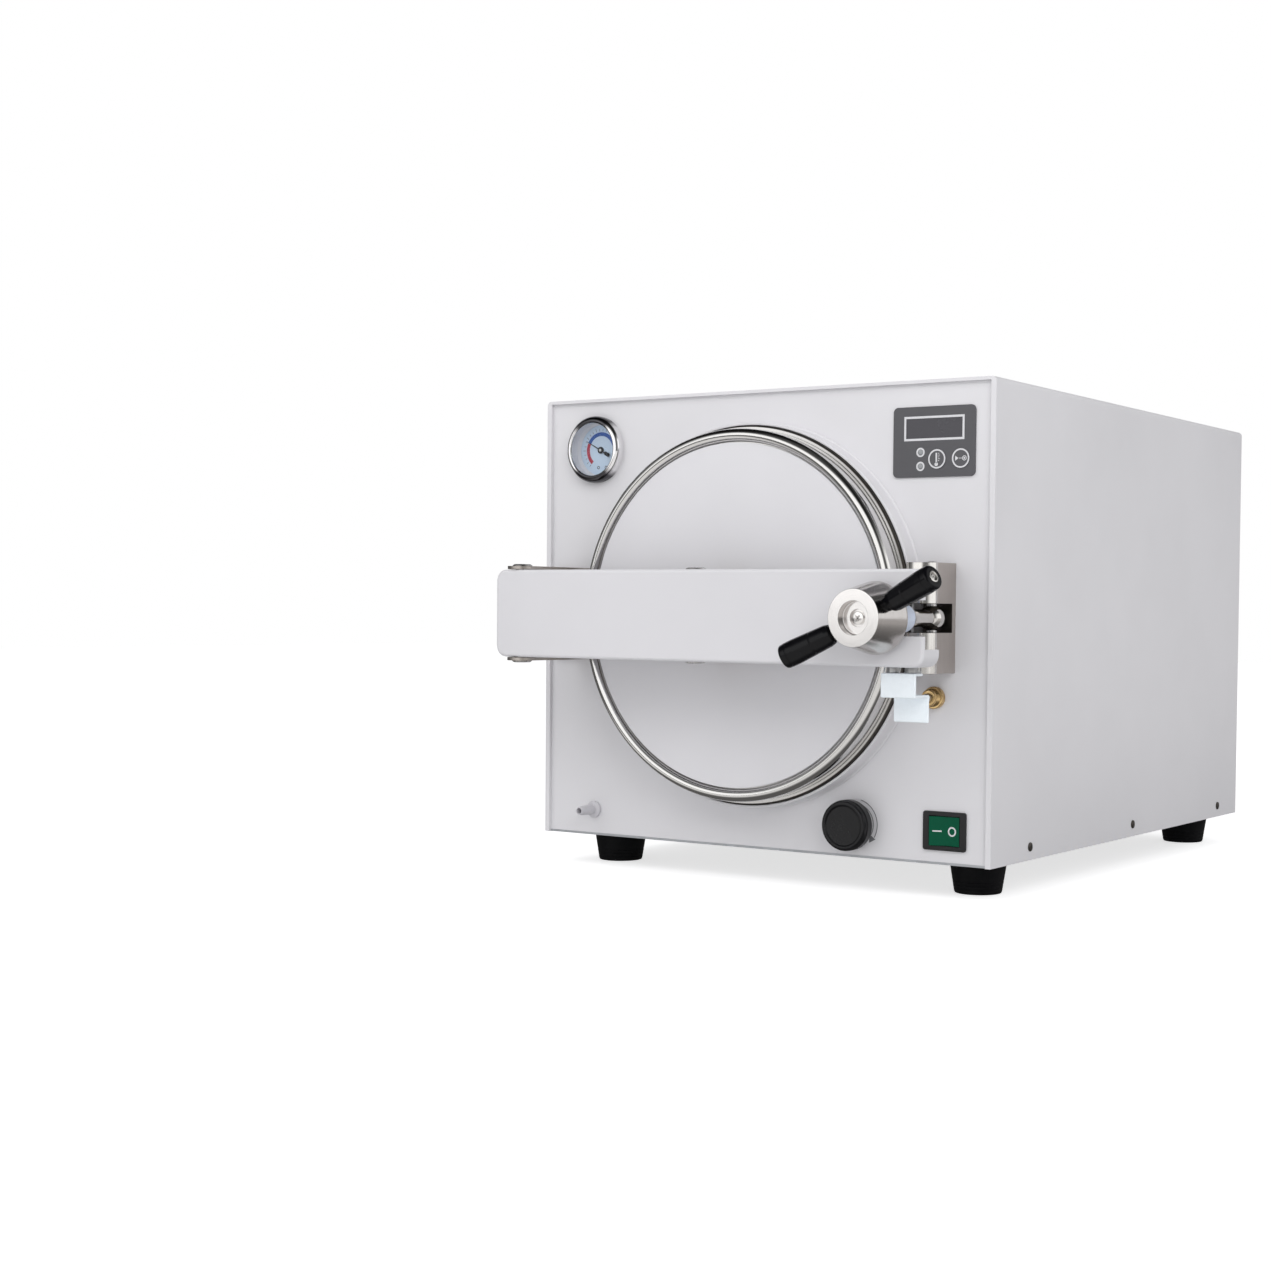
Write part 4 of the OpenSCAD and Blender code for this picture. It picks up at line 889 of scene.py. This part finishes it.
def cross_screw(name, radius, height, slot, dome=0.5):
    """A low domed head on the origin that looks up, with a cross in it, in millimetres."""
    profile = [(0, 0), (radius, 0), (radius, height * (1 - dome))]
    profile += [(max(radius * cos(a), 0), height * (1 - dome + dome * sin(a)))
                for a in (radians(d) for d in (18, 36, 54, 72, 90))]
    screw = turned(name, profile, ORIGIN, UP, steps=32, angle=50)
    for turn in (0, 90):
        take(None)
        bpy.ops.mesh.primitive_cube_add(size=1, location=(0, 0, height * MM))
        bar_cut = bpy.context.object
        bar_cut.scale = Vector((slot * 2, slot * SLOT_WIDE, height * SLOT_DEEP)) * MM
        bar_cut.rotation_euler.z = radians(turn)
        placed(bar_cut)
        bpy.ops.object.mode_set(mode="EDIT")
        pick("FACE", lambda face: face.normal.z < -0.5)
        bpy.ops.transform.resize(value=(SLOT_TAPER, SLOT_TAPER, 1), center_override=(0, 0, 0))
        cut(screw, bar_cut)
    return smooth(screw, 40)


pattern_screw = cross_screw("pattern_screw", 4.2, 2.2, 2.2)
print("screw:", len(pattern_screw.data.polygons), "faces")

# %% [markdown]
# ## Hub of the handwheel
# The hub is turned from stainless bar: a plain cone that ends in a broad flat ring, and a bored recess with its own
# counterbore for the flat screw. The cone is polished in a darker copy of its steel, as painted shade, and the faces
# to the front take a much lighter copy, as painted light, so it takes two finishes. The slots of the screw are painted
# dark, as painted shade, so that its cross shows.

# %% Turn the hub
RECESS, COUNTERBORE, SLOTS_R = 6.5, 8.4, 3.4
hub_back = at_depth(clamp, high("hub").y)
hub_l = span("hub", Y)
recess, counterbore = hub_l - RECESS, hub_l - COUNTERBORE
hub = turned("hub_turned", filleted([
    (0, 24), (6.05, 24), (6.05, 0), (26.5, 0, 0.9), (26.5, 2, 0.8), (20.7, hub_l, 0.35), (12.3, hub_l, 0.3),
    (12.1, recess, 0.5), (6.3, recess, 0.15), (6.3, counterbore), (0, counterbore)]), hub_back, steps=128)
settle(hub, "handwheel", "polished_steel", "hub_steel", "hub")
# Faces to the front take the lighter steel: painted light.
faced(hub, ["hub_face"], lambda face: face.normal.y < -0.7)

# %% Set its screw
def in_slots(face):
    from_axis = (face.center - hub_back) / MM
    return from_axis.xz.length < SLOTS_R and -from_axis.y < recess


flat_screw = cross_screw("flat_screw", 4.7, 2.4, 2.9, 0.25)
hub_screw = copied(flat_screw, "hub_screw_head", seat(hub_back + TO_FRONT * counterbore * MM, TO_FRONT, 40))
bpy.data.objects.remove(flat_screw)
# The screw's head takes the same lighter steel: painted light.
settle(hub_screw, "handwheel", "screw_steel", "hub_face", "hub_screw")
# The cross's slots get the dark steel: painted shade.
faced(hub_screw, ["slot_steel"], in_slots)

# %% [markdown]
# ## Grips
# Each grip is a black moulded handle on a steel pin: a short neck at the hub, then nearly the full thickness, with a
# seam half way out, a fine groove before the rounded end, and a chromed ring with a small screw in the end face.

# %% Turn the grips
ROOT, TILT, RISE, END = 16, radians(9.5), radians(25.7), 67
grip_root = hub_back + TO_FRONT * ROOT * MM
grip_profile = filleted([
    (0, 13), (5.3, 13), (5.3, 26, 0.6), (7.4, 27.6, 1.4), (8.25, 31.2, 3), (8.75, 42.5, 0.3), (8.45, 42.9),
    (8.45, 43.3), (8.8, 43.7, 0.3), (9.4, 58, 10), (9.35, 62.6, 0.2), (9.0, 62.8), (9.0, 63.4), (9.3, 63.6, 0.3),
    (8.9, 68.9, 2.6), (4.6, 68.9, 0.3), (4.6, END), (0, END)])
collar_profile = filleted([(2.9, END), (4.5, END), (4.5, 69.0, 0.5), (3.0, 69.2, 0.4), (2.9, END)])
grips, collars, ends = [], [], []
for side, name in ((1, "grip_upper"), (-1, "grip_lower")):
    out = Vector((side * cos(TILT) * cos(RISE), -sin(TILT), side * cos(TILT) * sin(RISE)))
    grips.append(turned(name, grip_profile, grip_root, out, steps=48))
    collars.append(turned(name + "_collar", collar_profile, grip_root, out, steps=40))
    screw_at = seat(grip_root + out * END * MM, out, 30, (0.68, 0.68, 0.6))
    ends.append(copied(pattern_screw, name + "_screw", screw_at))
settle(joined("grips_moulded", grips), "handwheel", "black_plastic", "grip_black", "grips")
settle(joined("grip_end_collars", collars), "handwheel", "screw_steel", "nose_steel", "grip_screws")
settle(joined("grip_end_screws", ends), "handwheel", "screw_steel", "pin_steel")

# %% [markdown]
# ## Bracket, sleeve and washer
# The clamp's bracket is a bar with a half-round nose and a gap for the eye. The nose is polished like a mirror and the
# flat sides are only ground, and the faces in the gap get the dark steel as painted shade, so its faces take three
# finishes. The sleeve is nylon and the washer is steel. All of them keep their solids' shapes with broken edges.

# %% Break the edges of the clamp's parts
GAP_HALF = 11.6 * MM
bracket = softened("clamp_bracket", "clamp_bracket_milled", 0.6, 3, "cabinet", "polished_steel", "bracket_steel")
corners = bracket.data.vertices


def bracket_finish(face):
    # Faces inside the eye's gap get the dark steel: painted shade.
    if all(abs(corners[i].co.z - clamp.z) < GAP_HALF for i in face.vertices):
        return 2
    return face.normal.y < -0.02 and abs(face.normal.z) < 0.7


faced(bracket, ["nose_steel", "slot_steel"], bracket_finish)
softened("eye_pin", "eye_pin_turned", 0.5, 3, "cabinet", "polished_steel", "pin_steel")
softened("thrust_sleeve", "thrust_sleeve_turned", 0.6, 3, "door", "nylon", "nylon")
softened("thrust_washer", "thrust_washer_turned", 0.3, 2, "thrust_washer", "polished_steel", "hub_steel")

# %% [markdown]
# ## Interlock plate
# A strip of zinc-plated sheet is folded twice under the crossbar, so that it presses the plunger when the door is
# shut. A fold in sheet is round outside, with a radius of about the sheet's thickness. Two nuts keep the strip a few
# millimetres below the bar, and a screw goes up through each of them.

# %% Make a nut
def hexagonal(name, centre, radius, height, along, spin=0):
    """A hexagonal nut or collar: a blank with six flats, whose end faces are turned to a smaller raised ring."""
    flats, ring, edge = 0.86, 0.1, 0.025
    take(None)
    bpy.ops.mesh.primitive_cylinder_add(vertices=6, radius=radius * MM, depth=height * flats * MM)
    piece = bpy.context.object
    piece.name = name
    bpy.ops.object.mode_set(mode="EDIT")
    pick("FACE", lambda face: len(face.verts) == 6)
    bpy.ops.mesh.inset(thickness=radius * ring * MM)
    bpy.ops.transform.resize(value=(1, 1, 1 / flats), center_override=(0, 0, 0))
    bpy.ops.mesh.select_all(action="SELECT")
    bpy.ops.mesh.bevel(offset=radius * edge * MM, segments=2, affect="EDGES")
    bpy.ops.object.mode_set(mode="OBJECT")
    piece.matrix_world = seat(centre, along, spin)
    return smooth(placed(piece), 30)


print("ready to cut nuts")

# %% Fold the plate and set it on its nuts
NUT_TALL, NUT_R = 4.5, 4.7
plate_low, plate_high = low("interlock_plate"), high("interlock_plate")
plate = merged("interlock_plate", "interlock_plate_folded")
bpy.ops.object.mode_set(mode="EDIT")
pick("VERT", lambda point: point.co.z > plate_high.z - 2.5 * MM)
bpy.ops.transform.translate(value=UP * -NUT_TALL * MM)
bpy.ops.object.mode_set(mode="OBJECT")
settle(rounded(plate, 0.9, 4), "door", "zinc_sheet", "zinc_plate", "interlock_plate")
holders = []
for i, x in enumerate((7, 22)):
    at = Vector((plate_low.x + x * MM, plate_low.y + 6 * MM, plate_high.z - NUT_TALL * MM))
    screw_at = seat(at - UP * 2 * MM, -UP, 25 * i, (0.8, 0.8, 0.9))
    holders.append(copied(pattern_screw, f"plate_screw_{i}", screw_at))
    holders.append(hexagonal(f"plate_nut_{i}", at + UP * NUT_TALL / 2 * MM, NUT_R, NUT_TALL, UP, 12 * i))
settle(joined("plate_screws", holders), "door", "screw_steel", "rod_steel")

# %% [markdown]
# ## Pressure gauge
# A chromed bezel holds a flat glass over a deep cup, and the dial lies at the bottom of the cup. Seen from the side,
# the cup's pale wall shows on the left. The bezel is turned with a round crest, and the wall is a thin liner.

# %% Turn the bezel and the liner
CREST_OUT, CREST_TALL, CREST_FOOT = 4.4, 5.5, 3.2
CREST_IN, INNER_TALL = 1.6, 1.2
SEAT_R, SEAT_T = 3.45, 7.5
on_panel = at_depth(gauge, panel_y)
bezel_r = span("gauge_bezel", X) / 2
crest_r = bezel_r - CREST_OUT
crest = [(crest_r + CREST_OUT * cos(a), CREST_FOOT + CREST_TALL * sin(a))
         for a in (pi / 2 * k / 12 for k in range(13))]
crest += [(crest_r - CREST_IN * sin(a), SEAT_T + INNER_TALL * cos(a))
          for a in (pi / 2 * k / 6 for k in range(1, 7))]
glass_seat = [(bezel_r - 6, SEAT_T), (bezel_r - 2.7, SEAT_T), (bezel_r - 2.7, 6), (bezel_r - SEAT_R, 6)]
foot = [(bezel_r - SEAT_R, 0), (bezel_r, 0)]
bezel = turned("gauge_bezel_turned", foot + crest + glass_seat + foot[:1], on_panel)
settle(bezel, "cabinet", "polished_steel", "bezel_chrome", "gauge_bezel")
wall = bezel_r - 4.8
liner = turned("gauge_liner", filleted([
    (wall, 5.6), (wall, -2, 1), (wall - 1.9, -5.4), (wall - 2, -5.3), (wall - 0.2, -2, 1), (wall - 0.2, 5.6),
    (wall, 5.6)]), on_panel)
settle(liner, "cabinet", "dial_white", "liner_white")

# %% [markdown]
# ## Marks on the dial
# The dial is printed: a blue arc for the working range, a red one beyond it, fine strokes round both, and two small
# rings. Each mark is a thin piece of ink, so it keeps a crisp edge from close by, and no picture is needed.

# %% Print the dial
ARC_IN, ARC_OUT, STROKE_IN, STROKE_OUT, LONG_STROKE_OUT = 12.2, 15.4, 16.2, 18.2, 19
dial = at_depth(gauge, low("gauge_dial").y)
for colour, first, last in (("blue", 18, 153), ("red", 155, 229)):
    arc = ring_mark(f"dial_arc_{colour}", dial, ARC_IN, ARC_OUT, first, last)
    settle(arc, "cabinet", "dial_white", "ink_" + colour)
strokes = []
for d in range(-36, 235, 12):
    reach = STROKE_OUT if d % 36 else LONG_STROKE_OUT
    strokes.append(ring_mark(f"stroke_{d}", dial, STROKE_IN, reach, d - 0.5, d + 0.5, 2))
for i, x in enumerate((-2.8, 5.3)):
    strokes.append(ring_mark(f"dot_{i}", dial + Vector((x, 0, -14.6)) * MM, 0.8, 1.4, steps=20))
settle(joined("dial_strokes", strokes), "cabinet", "dial_white", "ink_black")

# %% [markdown]
# ## Needle
# The needle is a thin blade with a heavy tail that balances it, on a turned cap. Its outline is drawn once along the
# way it points, and the cap carries a bright pin end.

# %% Cut the needle
NEEDLE_AT = 152
ahead_of, beside = pointing(NEEDLE_AT), pointing(NEEDLE_AT + 90)
blade_outline = [(17.2, -0.12), (17.2, 0.12), (2, 0.55), (-4.5, 0.6), (-5.5, 1.5), (-10.4, 1.6), (-10.4, -1.6),
                 (-5.5, -1.5), (-4.5, -0.6), (2, -0.55)]
blade_back = dial + TO_FRONT * 0.8 * MM
blade_points = [blade_back + (ahead_of * a + beside * b) * MM for a, b in blade_outline]
blade = printed(polyline("needle_blade", blade_points, ring=True), 0.4)
cap = turned("needle_cap", filleted([
    (0, -1.6), (0.75, -1.6), (0.75, 0.5), (2.9, 0.5), (2.9, 1.6, 0.5), (1.3, 1.6), (1.3, 1.3), (0, 1.3)]),
    dial, steps=40)
settle(joined("needle_cut", [blade, cap]), "needle", "needle_black", "needle_black", "gauge_needle")
pin_end = turned("needle_pin", filleted([(0, 1.3), (1.2, 1.3), (1.2, 1.9, 0.4), (0, 2.0)]), dial, steps=24)
settle(pin_end, "needle", "polished_steel", "pin_steel")

# %% [markdown]
# ## Control panel
# A printed film covers the display. Its light marks lie on top: a frame round the window and a ring round each lamp.
# A flat plate is inset to make a frame, and rings are spun.

# %% Frame the window and ring the lamps
softened("control_overlay", "overlay_film_cut", 0.3, 2, "cabinet", "overlay_grey", "overlay_film")
film = low("control_overlay").y


def frame_mark(name, node, left, right, below, above, width):
    """A printed frame round a solid, with lines of one width and set off from its sides, in millimetres."""
    first = low(node) - Vector((left, 0, below)) * MM
    last = high(node) + Vector((right, 0, above)) * MM
    take(None)
    centre = at_depth((first + last) / 2, film)
    bpy.ops.mesh.primitive_plane_add(size=1, location=centre, rotation=(pi / 2, 0, 0))
    piece = bpy.context.object
    piece.name, piece.scale = name, (last.x - first.x, last.z - first.z, 1)
    placed(piece)
    bpy.ops.object.mode_set(mode="EDIT")
    bpy.ops.mesh.select_all(action="SELECT")
    bpy.ops.mesh.inset(thickness=width * MM)
    bpy.ops.mesh.delete(type="FACE")
    bpy.ops.mesh.select_all(action="SELECT")
    extruded(TO_FRONT * INK * MM)
    return closed(piece)


LAMP_R = 2.2
lamps_x = middle("status_lamps").x
lamp_heights = high("status_lamps").z - LAMP_R * MM, low("status_lamps").z + LAMP_R * MM
lines = [frame_mark("window_frame", "display_window", 0.2, 0.3, 0.8, -0.1, 1.7)]
lines += [ring_mark(f"lamp_ring_{i}", Vector((lamps_x, film, z)), 2.3, 3.6) for i, z in enumerate(lamp_heights)]
settle(joined("overlay_lines", lines), "cabinet", "overlay_grey", "ink_white")

# %% [markdown]
# ## Signs on the keys
# The left key chooses the temperature, and shows a thermometer. The right one starts the run, and shows a triangle, a
# line and a lamp's ring. Signs and rings ride on the keys, so they move when a key is pressed.

# %% Soften the keys
for key in ("key_program", "key_start"):
    softened(key, key + "_film", 0.25, 2, key, "key_grey", "key_film")

# %% Print their signs
def outline(name, at, points):
    """A printed shape whose corners lie so many millimetres to the right of a place and above it."""
    return printed(polyline(name, [at + Vector((x, 0, z)) * MM for x, z in points], ring=True))


def bar_mark(name, at, x0, x1, z0, z1):
    return outline(name, at, [(x0, z0), (x1, z0), (x1, z1), (x0, z1)])


key_top = low("key_program").y
program, start = (at_depth(middle(key), key_top) for key in ("key_program", "key_start"))
bulb, lamp_sign = program + Vector((-0.4, 0, -4.0)) * MM, start + RIGHT * 3.2 * MM
thermometer = [bar_mark("thermometer_stem", program, -1.05, 0.25, -3.2, 4.6),
               ring_mark("thermometer_bulb", bulb, 0.02, 1.5, steps=20)]
for i, z in enumerate((-1.6, -0.2, 1.2, 2.6, 4.0)):
    thermometer.append(bar_mark(f"thermometer_mark_{i}", program, 1.1, 2.6 if i % 2 else 2.1, z, z + 0.45))
run = [outline("start_triangle", start, [(-4.6, -1.9), (-4.6, 1.9), (-1.8, 0)]),
       bar_mark("start_line", start, -1.4, 1.2, -0.22, 0.22),
       ring_mark("start_ring", lamp_sign, 1.35, 1.9, steps=24),
       ring_mark("start_dot", lamp_sign, 0.02, 0.8, steps=16)]
for key, at, marks in (("program", program, thermometer), ("start", start, run)):
    marks.append(ring_mark("ring", at, 6.2, 7.4))
    settle(joined("sign_" + key, marks), "key_" + key, "key_grey", "ink_white")

# %% [markdown]
# ## Power switch
# A green rocker sits in a black frame. The rocker tilts about an upright axis, so its marks, a stroke for on and a
# ring for off, lie on its left and right halves. They are printed on a level plate first and then turned with the
# half that they lie on.

# %% Soften the switch and print its marks
softened("switch_frame", "switch_frame_moulded", 0.7, 3, "cabinet", "black_plastic", "switch_black")
rocker = softened("rocker", "rocker_moulded", 0.6, 3, "rocker", "rocker_green", "rocker_green")
halves = [f for f in rocker.data.polygons if f.normal.y < -0.8 and f.area > 5e-5]
print("rocker faces:", [(round(f.center.x, 4), round(f.normal.x, 3)) for f in halves])
marks = []
for face in sorted(halves, key=lambda f: f.center.x):
    level = Matrix.Translation(face.center) @ TO_FRONT.rotation_difference(face.normal).to_matrix().to_4x4()
    if face.center.x < middle("rocker").x:
        mark = bar_mark("switch_on", ORIGIN, -3.6, 3.6, -0.5, 0.5)
    else:
        mark = ring_mark("switch_off", ORIGIN, 2.5, 3.7, steps=36)
    marks.append(copied(mark, mark.name + "_set", level))
    bpy.data.objects.remove(mark)
settle(joined("rocker_marks", marks), "rocker", "rocker_green", "ink_white")

# %% [markdown]
# ## Vent knob and its arrow
# The knob is a smooth black cap with a groove behind its front edge and a shallow dish in front. It is turned like the
# steel parts. Beside it the panel shows which way it turns: a double arc with an arrowhead.

# %% Turn the knob and print the arrow
knob_base = at_depth(middle("vent_knob"), panel_y)
tall = (panel_y - low("vent_knob").y) / MM
knob = turned("vent_knob_moulded", filleted([
    (0, tall - 7.2), (4.05, tall - 7.2), (4.05, 0.3), (13.2, 0.3, 0.4), (13.2, tall - 13, 0.6), (20, tall - 12.4, 1.4),
    (20, tall - 5.4, 0.4), (19.1, tall - 4.8, 0.3), (19.1, tall - 3.9, 0.3), (20, tall - 3.3, 0.5), (19.0, tall, 2.2),
    (16.3, tall, 0.6), (15.3, tall - 1.4, 0.8), (0, tall - 1.9)]), knob_base, steps=80)
settle(knob, "vent_knob", "black_plastic", "knob_black", "vent_knob")
head = [knob_base + pointing(a) * r * MM for r, a in ((14.4, -30), (21.2, -32), (18.8, -49))]
arrow = [ring_mark("arrow_outer", knob_base, 19.1, 19.8, -30, 77),
         ring_mark("arrow_inner", knob_base, 15.6, 16.3, -30, 68),
         printed(polyline("arrow_head", head, ring=True))]
settle(joined("vent_arrow", arrow), "cabinet", "white_paint", "ink_grey")

# %% [markdown]
# ## Drain spigot and plunger
# The spigot is a short moulded tube with a collar and a rounded mouth. The plunger's bush is brass, with a thread
# between its collar and its nose. A few grooves stand for the thread, because at this size its slope can't be seen.

# %% Turn the spigot, the bush and the plunger
THREAD_R, GROOVE, PITCH = 7.0, 0.55, 0.6
softened("drain_spigot", "drain_spigot_moulded", 0.5, 3, "cabinet", "spigot_grey", "spigot_grey")
collar = filleted([(3.55, -15.4), (6, -15.4, 0.4), (6, 0), (8.6, 0, 0.6), (8.6, 4.6, 0.9), (THREAD_R, 5.0)])
thread = [(THREAD_R - GROOVE * (k % 2), 5.6 + PITCH * k) for k in range(8)]
nose = filleted([(6.4, 10.4), (6.2, 12, 0.9), (3.55, 12, 0.3), (3.55, -15.4)])
bush_base = at_depth(middle("plunger_bush"), panel_y)
bush = turned("plunger_bush_turned", collar + thread + nose, bush_base, steps=64, angle=30)
settle(bush, "cabinet", "brass", "brass", "plunger_bush")
softened("plunger_pin", "plunger_pin_turned", 0.4, 3, "plunger", "polished_steel", "pin_steel")

# %% [markdown]
# ## Cover, feet and side screws
# The cover is one sheet bent over the sides and the top, with its front and rear edges turned in. A small bevel gives
# its folds their highlight. The feet are tapered rubber with a few fine rings, held by a screw in the hollow below.

# %% Soften the cover and turn the feet
FOOT_R, HOLLOW, TAPER, RING = 23, 6, 0.155, 0.35
softened("outer_cover", "cover_bent", 0.9, 3, "cabinet", "white_paint", "white_coat")
foot_low, foot_high = low("rubber_feet"), high("rubber_feet")
foot_tall = foot_high.z / MM
rings = [(18.8 + TAPER * t - RING * (k % 3 == 1), t)
         for k, t in enumerate((3.4, 3.8, 4.2, 6.4, 6.8, 7.2, 9.4, 9.8, 10.2))]
tread = filleted([(0, HOLLOW), (7, HOLLOW, 0.4), (7, 0, 0.6), (18.4, 0, 1.0), (18.9, 1.4)])
foot_profile = tread + rings + [(FOOT_R, foot_tall), (0, foot_tall)]
xs, ys = ((foot_low[axis] + FOOT_R * MM, foot_high[axis] - FOOT_R * MM) for axis in (X, Y))
feet, foot_screws = [], []
for i, (x, y) in enumerate((x, y) for x in xs for y in ys):
    feet.append(turned(f"foot_{i}", foot_profile, Vector((x, y, 0)), UP, steps=64))
    screw_at = seat(Vector((x, y, HOLLOW * MM)), -UP, 20 * i)
    foot_screws.append(copied(pattern_screw, f"foot_screw_{i}", screw_at))
settle(joined("feet_moulded", feet), "cabinet", "black_rubber", "foot_rubber", "rubber_feet")
settle(joined("foot_screws", foot_screws), "cabinet", "screw_steel", "screw_steel")

# %% Set the side screws
SCREWS_BEHIND_FRONT = (69, 275.5, 484)
cover_low, cover_high, screw_z = low("outer_cover"), high("outer_cover"), middle("side_screws").z
side_screws = []
for x, facing in ((cover_low.x, -RIGHT), (cover_high.x, RIGHT)):
    for behind in SCREWS_BEHIND_FRONT:
        i = len(side_screws)
        screw_at = seat(Vector((x, cover_low.y + behind * MM, screw_z)), facing, 17 * i, (0.84, 0.84, 0.6))
        side_screws.append(copied(pattern_screw, f"side_screw_{i}", screw_at))
# The side screws take the dark steel all over, as painted shade.
settle(joined("side_screws_set", side_screws), "cabinet", "screw_steel", "slot_steel", "side_screws")
bpy.data.objects.remove(pattern_screw)

# %% [markdown]
# ## Fittings at the back
# The mains inlet and the two fuse caps are moulded, and each cap has a slot for a coin. The safety valve is brass and
# is undone with a spanner, so its collar is a hexagon: a turned blank, cut by six flats.

# %% Make the rear fittings
CAP_R, COIN_SLOT = 7.5 * MM, Vector((20, 3, 1.6)) * MM
COLLAR_OUT, COLLAR_R, COLLAR_TALL = 3.9, 11.5, 7.4
softened("mains_inlet", "mains_inlet_moulded", 0.5, 2, "cabinet", "black_plastic", "inlet_black")
fuses = rounded(merged("fuse_holders", "fuse_caps"), 0.5, 2)
fuse_low, fuse_high = low("fuse_holders"), high("fuse_holders")
for x in (fuse_low.x + CAP_R, fuse_high.x - CAP_R):
    take(None)
    bpy.ops.mesh.primitive_cube_add(size=1, location=(x, fuse_high.y, middle("fuse_holders").z))
    coin_slot = bpy.context.object
    coin_slot.scale = COIN_SLOT
    cut(fuses, coin_slot)
settle(smooth(fuses, 40), "cabinet", "black_plastic", "inlet_black", "fuse_holders")
softened("safety_valve", "safety_valve_turned", 0.6, 2, "cabinet", "brass", "brass")
collar_at = at_depth(middle("safety_ring"), high("rear_panel").y + COLLAR_OUT * MM)
collar = hexagonal("safety_valve_hexagon", collar_at, COLLAR_R, COLLAR_TALL, TO_REAR)
settle(collar, "cabinet", "brass", "brass")

# %% [markdown]
# ## Trays
# Behind the door a wire rack carries two pressed trays, and steam reaches the load through rows of small holes. A hole
# for each face of a grid is quick to make: every face is inset, the corners of the inner faces are cut off, and the
# inner faces are deleted. The rim of the sheet is then drawn up into walls and folded out into a lip.

# %% Press the trays
ROWS, COLUMNS = 22, 16
BORDER, WEB, CORNER_CUT = 0.012, 0.0031, 0.0019
SHEET, LIP_X, LIP_Y, LIP_TURN, HAIR = 0.0009, 0.0033, 0.004, 0.0016, 0.00002


def pressed_tray(node, name):
    lowest, highest, centre = low(node), high(node), middle(node)
    width, length = highest.x - lowest.x - 2 * LIP_X, highest.y - lowest.y - 2 * LIP_Y
    take(None)
    bpy.ops.mesh.primitive_grid_add(x_subdivisions=COLUMNS, y_subdivisions=ROWS, size=1,
                                    location=(centre.x, centre.y, lowest.z + SHEET))
    tray = bpy.context.object
    tray.name, tray.scale = name, (width, length, 1)
    placed(tray)

    def from_sides(at):
        """How far a point lies inside the left or right side, and inside the front or back."""
        return width / 2 - abs(at.x - centre.x), length / 2 - abs(at.y - centre.y)

    bpy.ops.object.mode_set(mode="EDIT")
    pick("FACE", lambda f: min(from_sides(f.calc_center_median())) > BORDER)
    bpy.ops.mesh.inset(thickness=WEB, use_individual=True)
    bpy.ops.mesh.bevel(offset=CORNER_CUT, affect="VERTICES")
    pick("FACE", lambda f: len(f.verts) == 8)
    print(name, "holes:", sum(f.select for f in bmesh.from_edit_mesh(tray.data).faces))
    bpy.ops.mesh.delete(type="FACE")

    pick("EDGE", lambda e: e.is_boundary and all(min(from_sides(v.co)) < 1e-5 for v in e.verts))
    extruded(UP * (highest.z - lowest.z - 2 * SHEET))
    extruded(UP * HAIR)
    lip = [1 + 2 * (reach - SHEET) / side for reach, side in ((LIP_X, width), (LIP_Y, length))]
    bpy.ops.transform.resize(value=(*lip, 1), center_override=centre)
    extruded(-UP * LIP_TURN)
    modified(closed(tray, 1e-6), "SOLIDIFY", thickness=SHEET, offset=0)
    return smooth(tray, 40)


for node in ("tray_upper", "tray_lower"):
    settle(pressed_tray(node, node + "_pressed"), "cabinet", "vessel_steel", "tray_steel", node)

# %% [markdown]
# ## Other parts behind the panels
# What the cover hides keeps its solids. Only edges that show through the vents or the open door are broken: the plate
# over the heater, the saddles, the transformer and the vent valve.

# %% Break the hidden edges
softened("bottom_plate", "bottom_plate_bent", 0.4, 2, "cabinet", "vessel_steel", "tray_steel")
softened("transformer", "transformer_stacked", 1.0, 2, "cabinet", "dark_case", "case_black")
softened("vent_valve", "vent_valve_body", 1.0, 2, "cabinet", "brass", "brass")
softened("vessel_saddles", "saddles_cut", 0.5, 2, "cabinet", "zinc_sheet", "zinc_base")

# %% [markdown]
# ## Close
# The last line prints how far the box of the dressed machine has grown past the box of its solids, in millimetres.
# The dressed machine has to stay inside the box of its solids.

# %% Print how far the box has grown
seen_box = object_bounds()
grown = zip([*cad_box[0], *cad_box[1]], [*seen_box[0], *seen_box[1]])
print("grown by mm:", [round((s - c) / MM, 2) for c, s in grown])
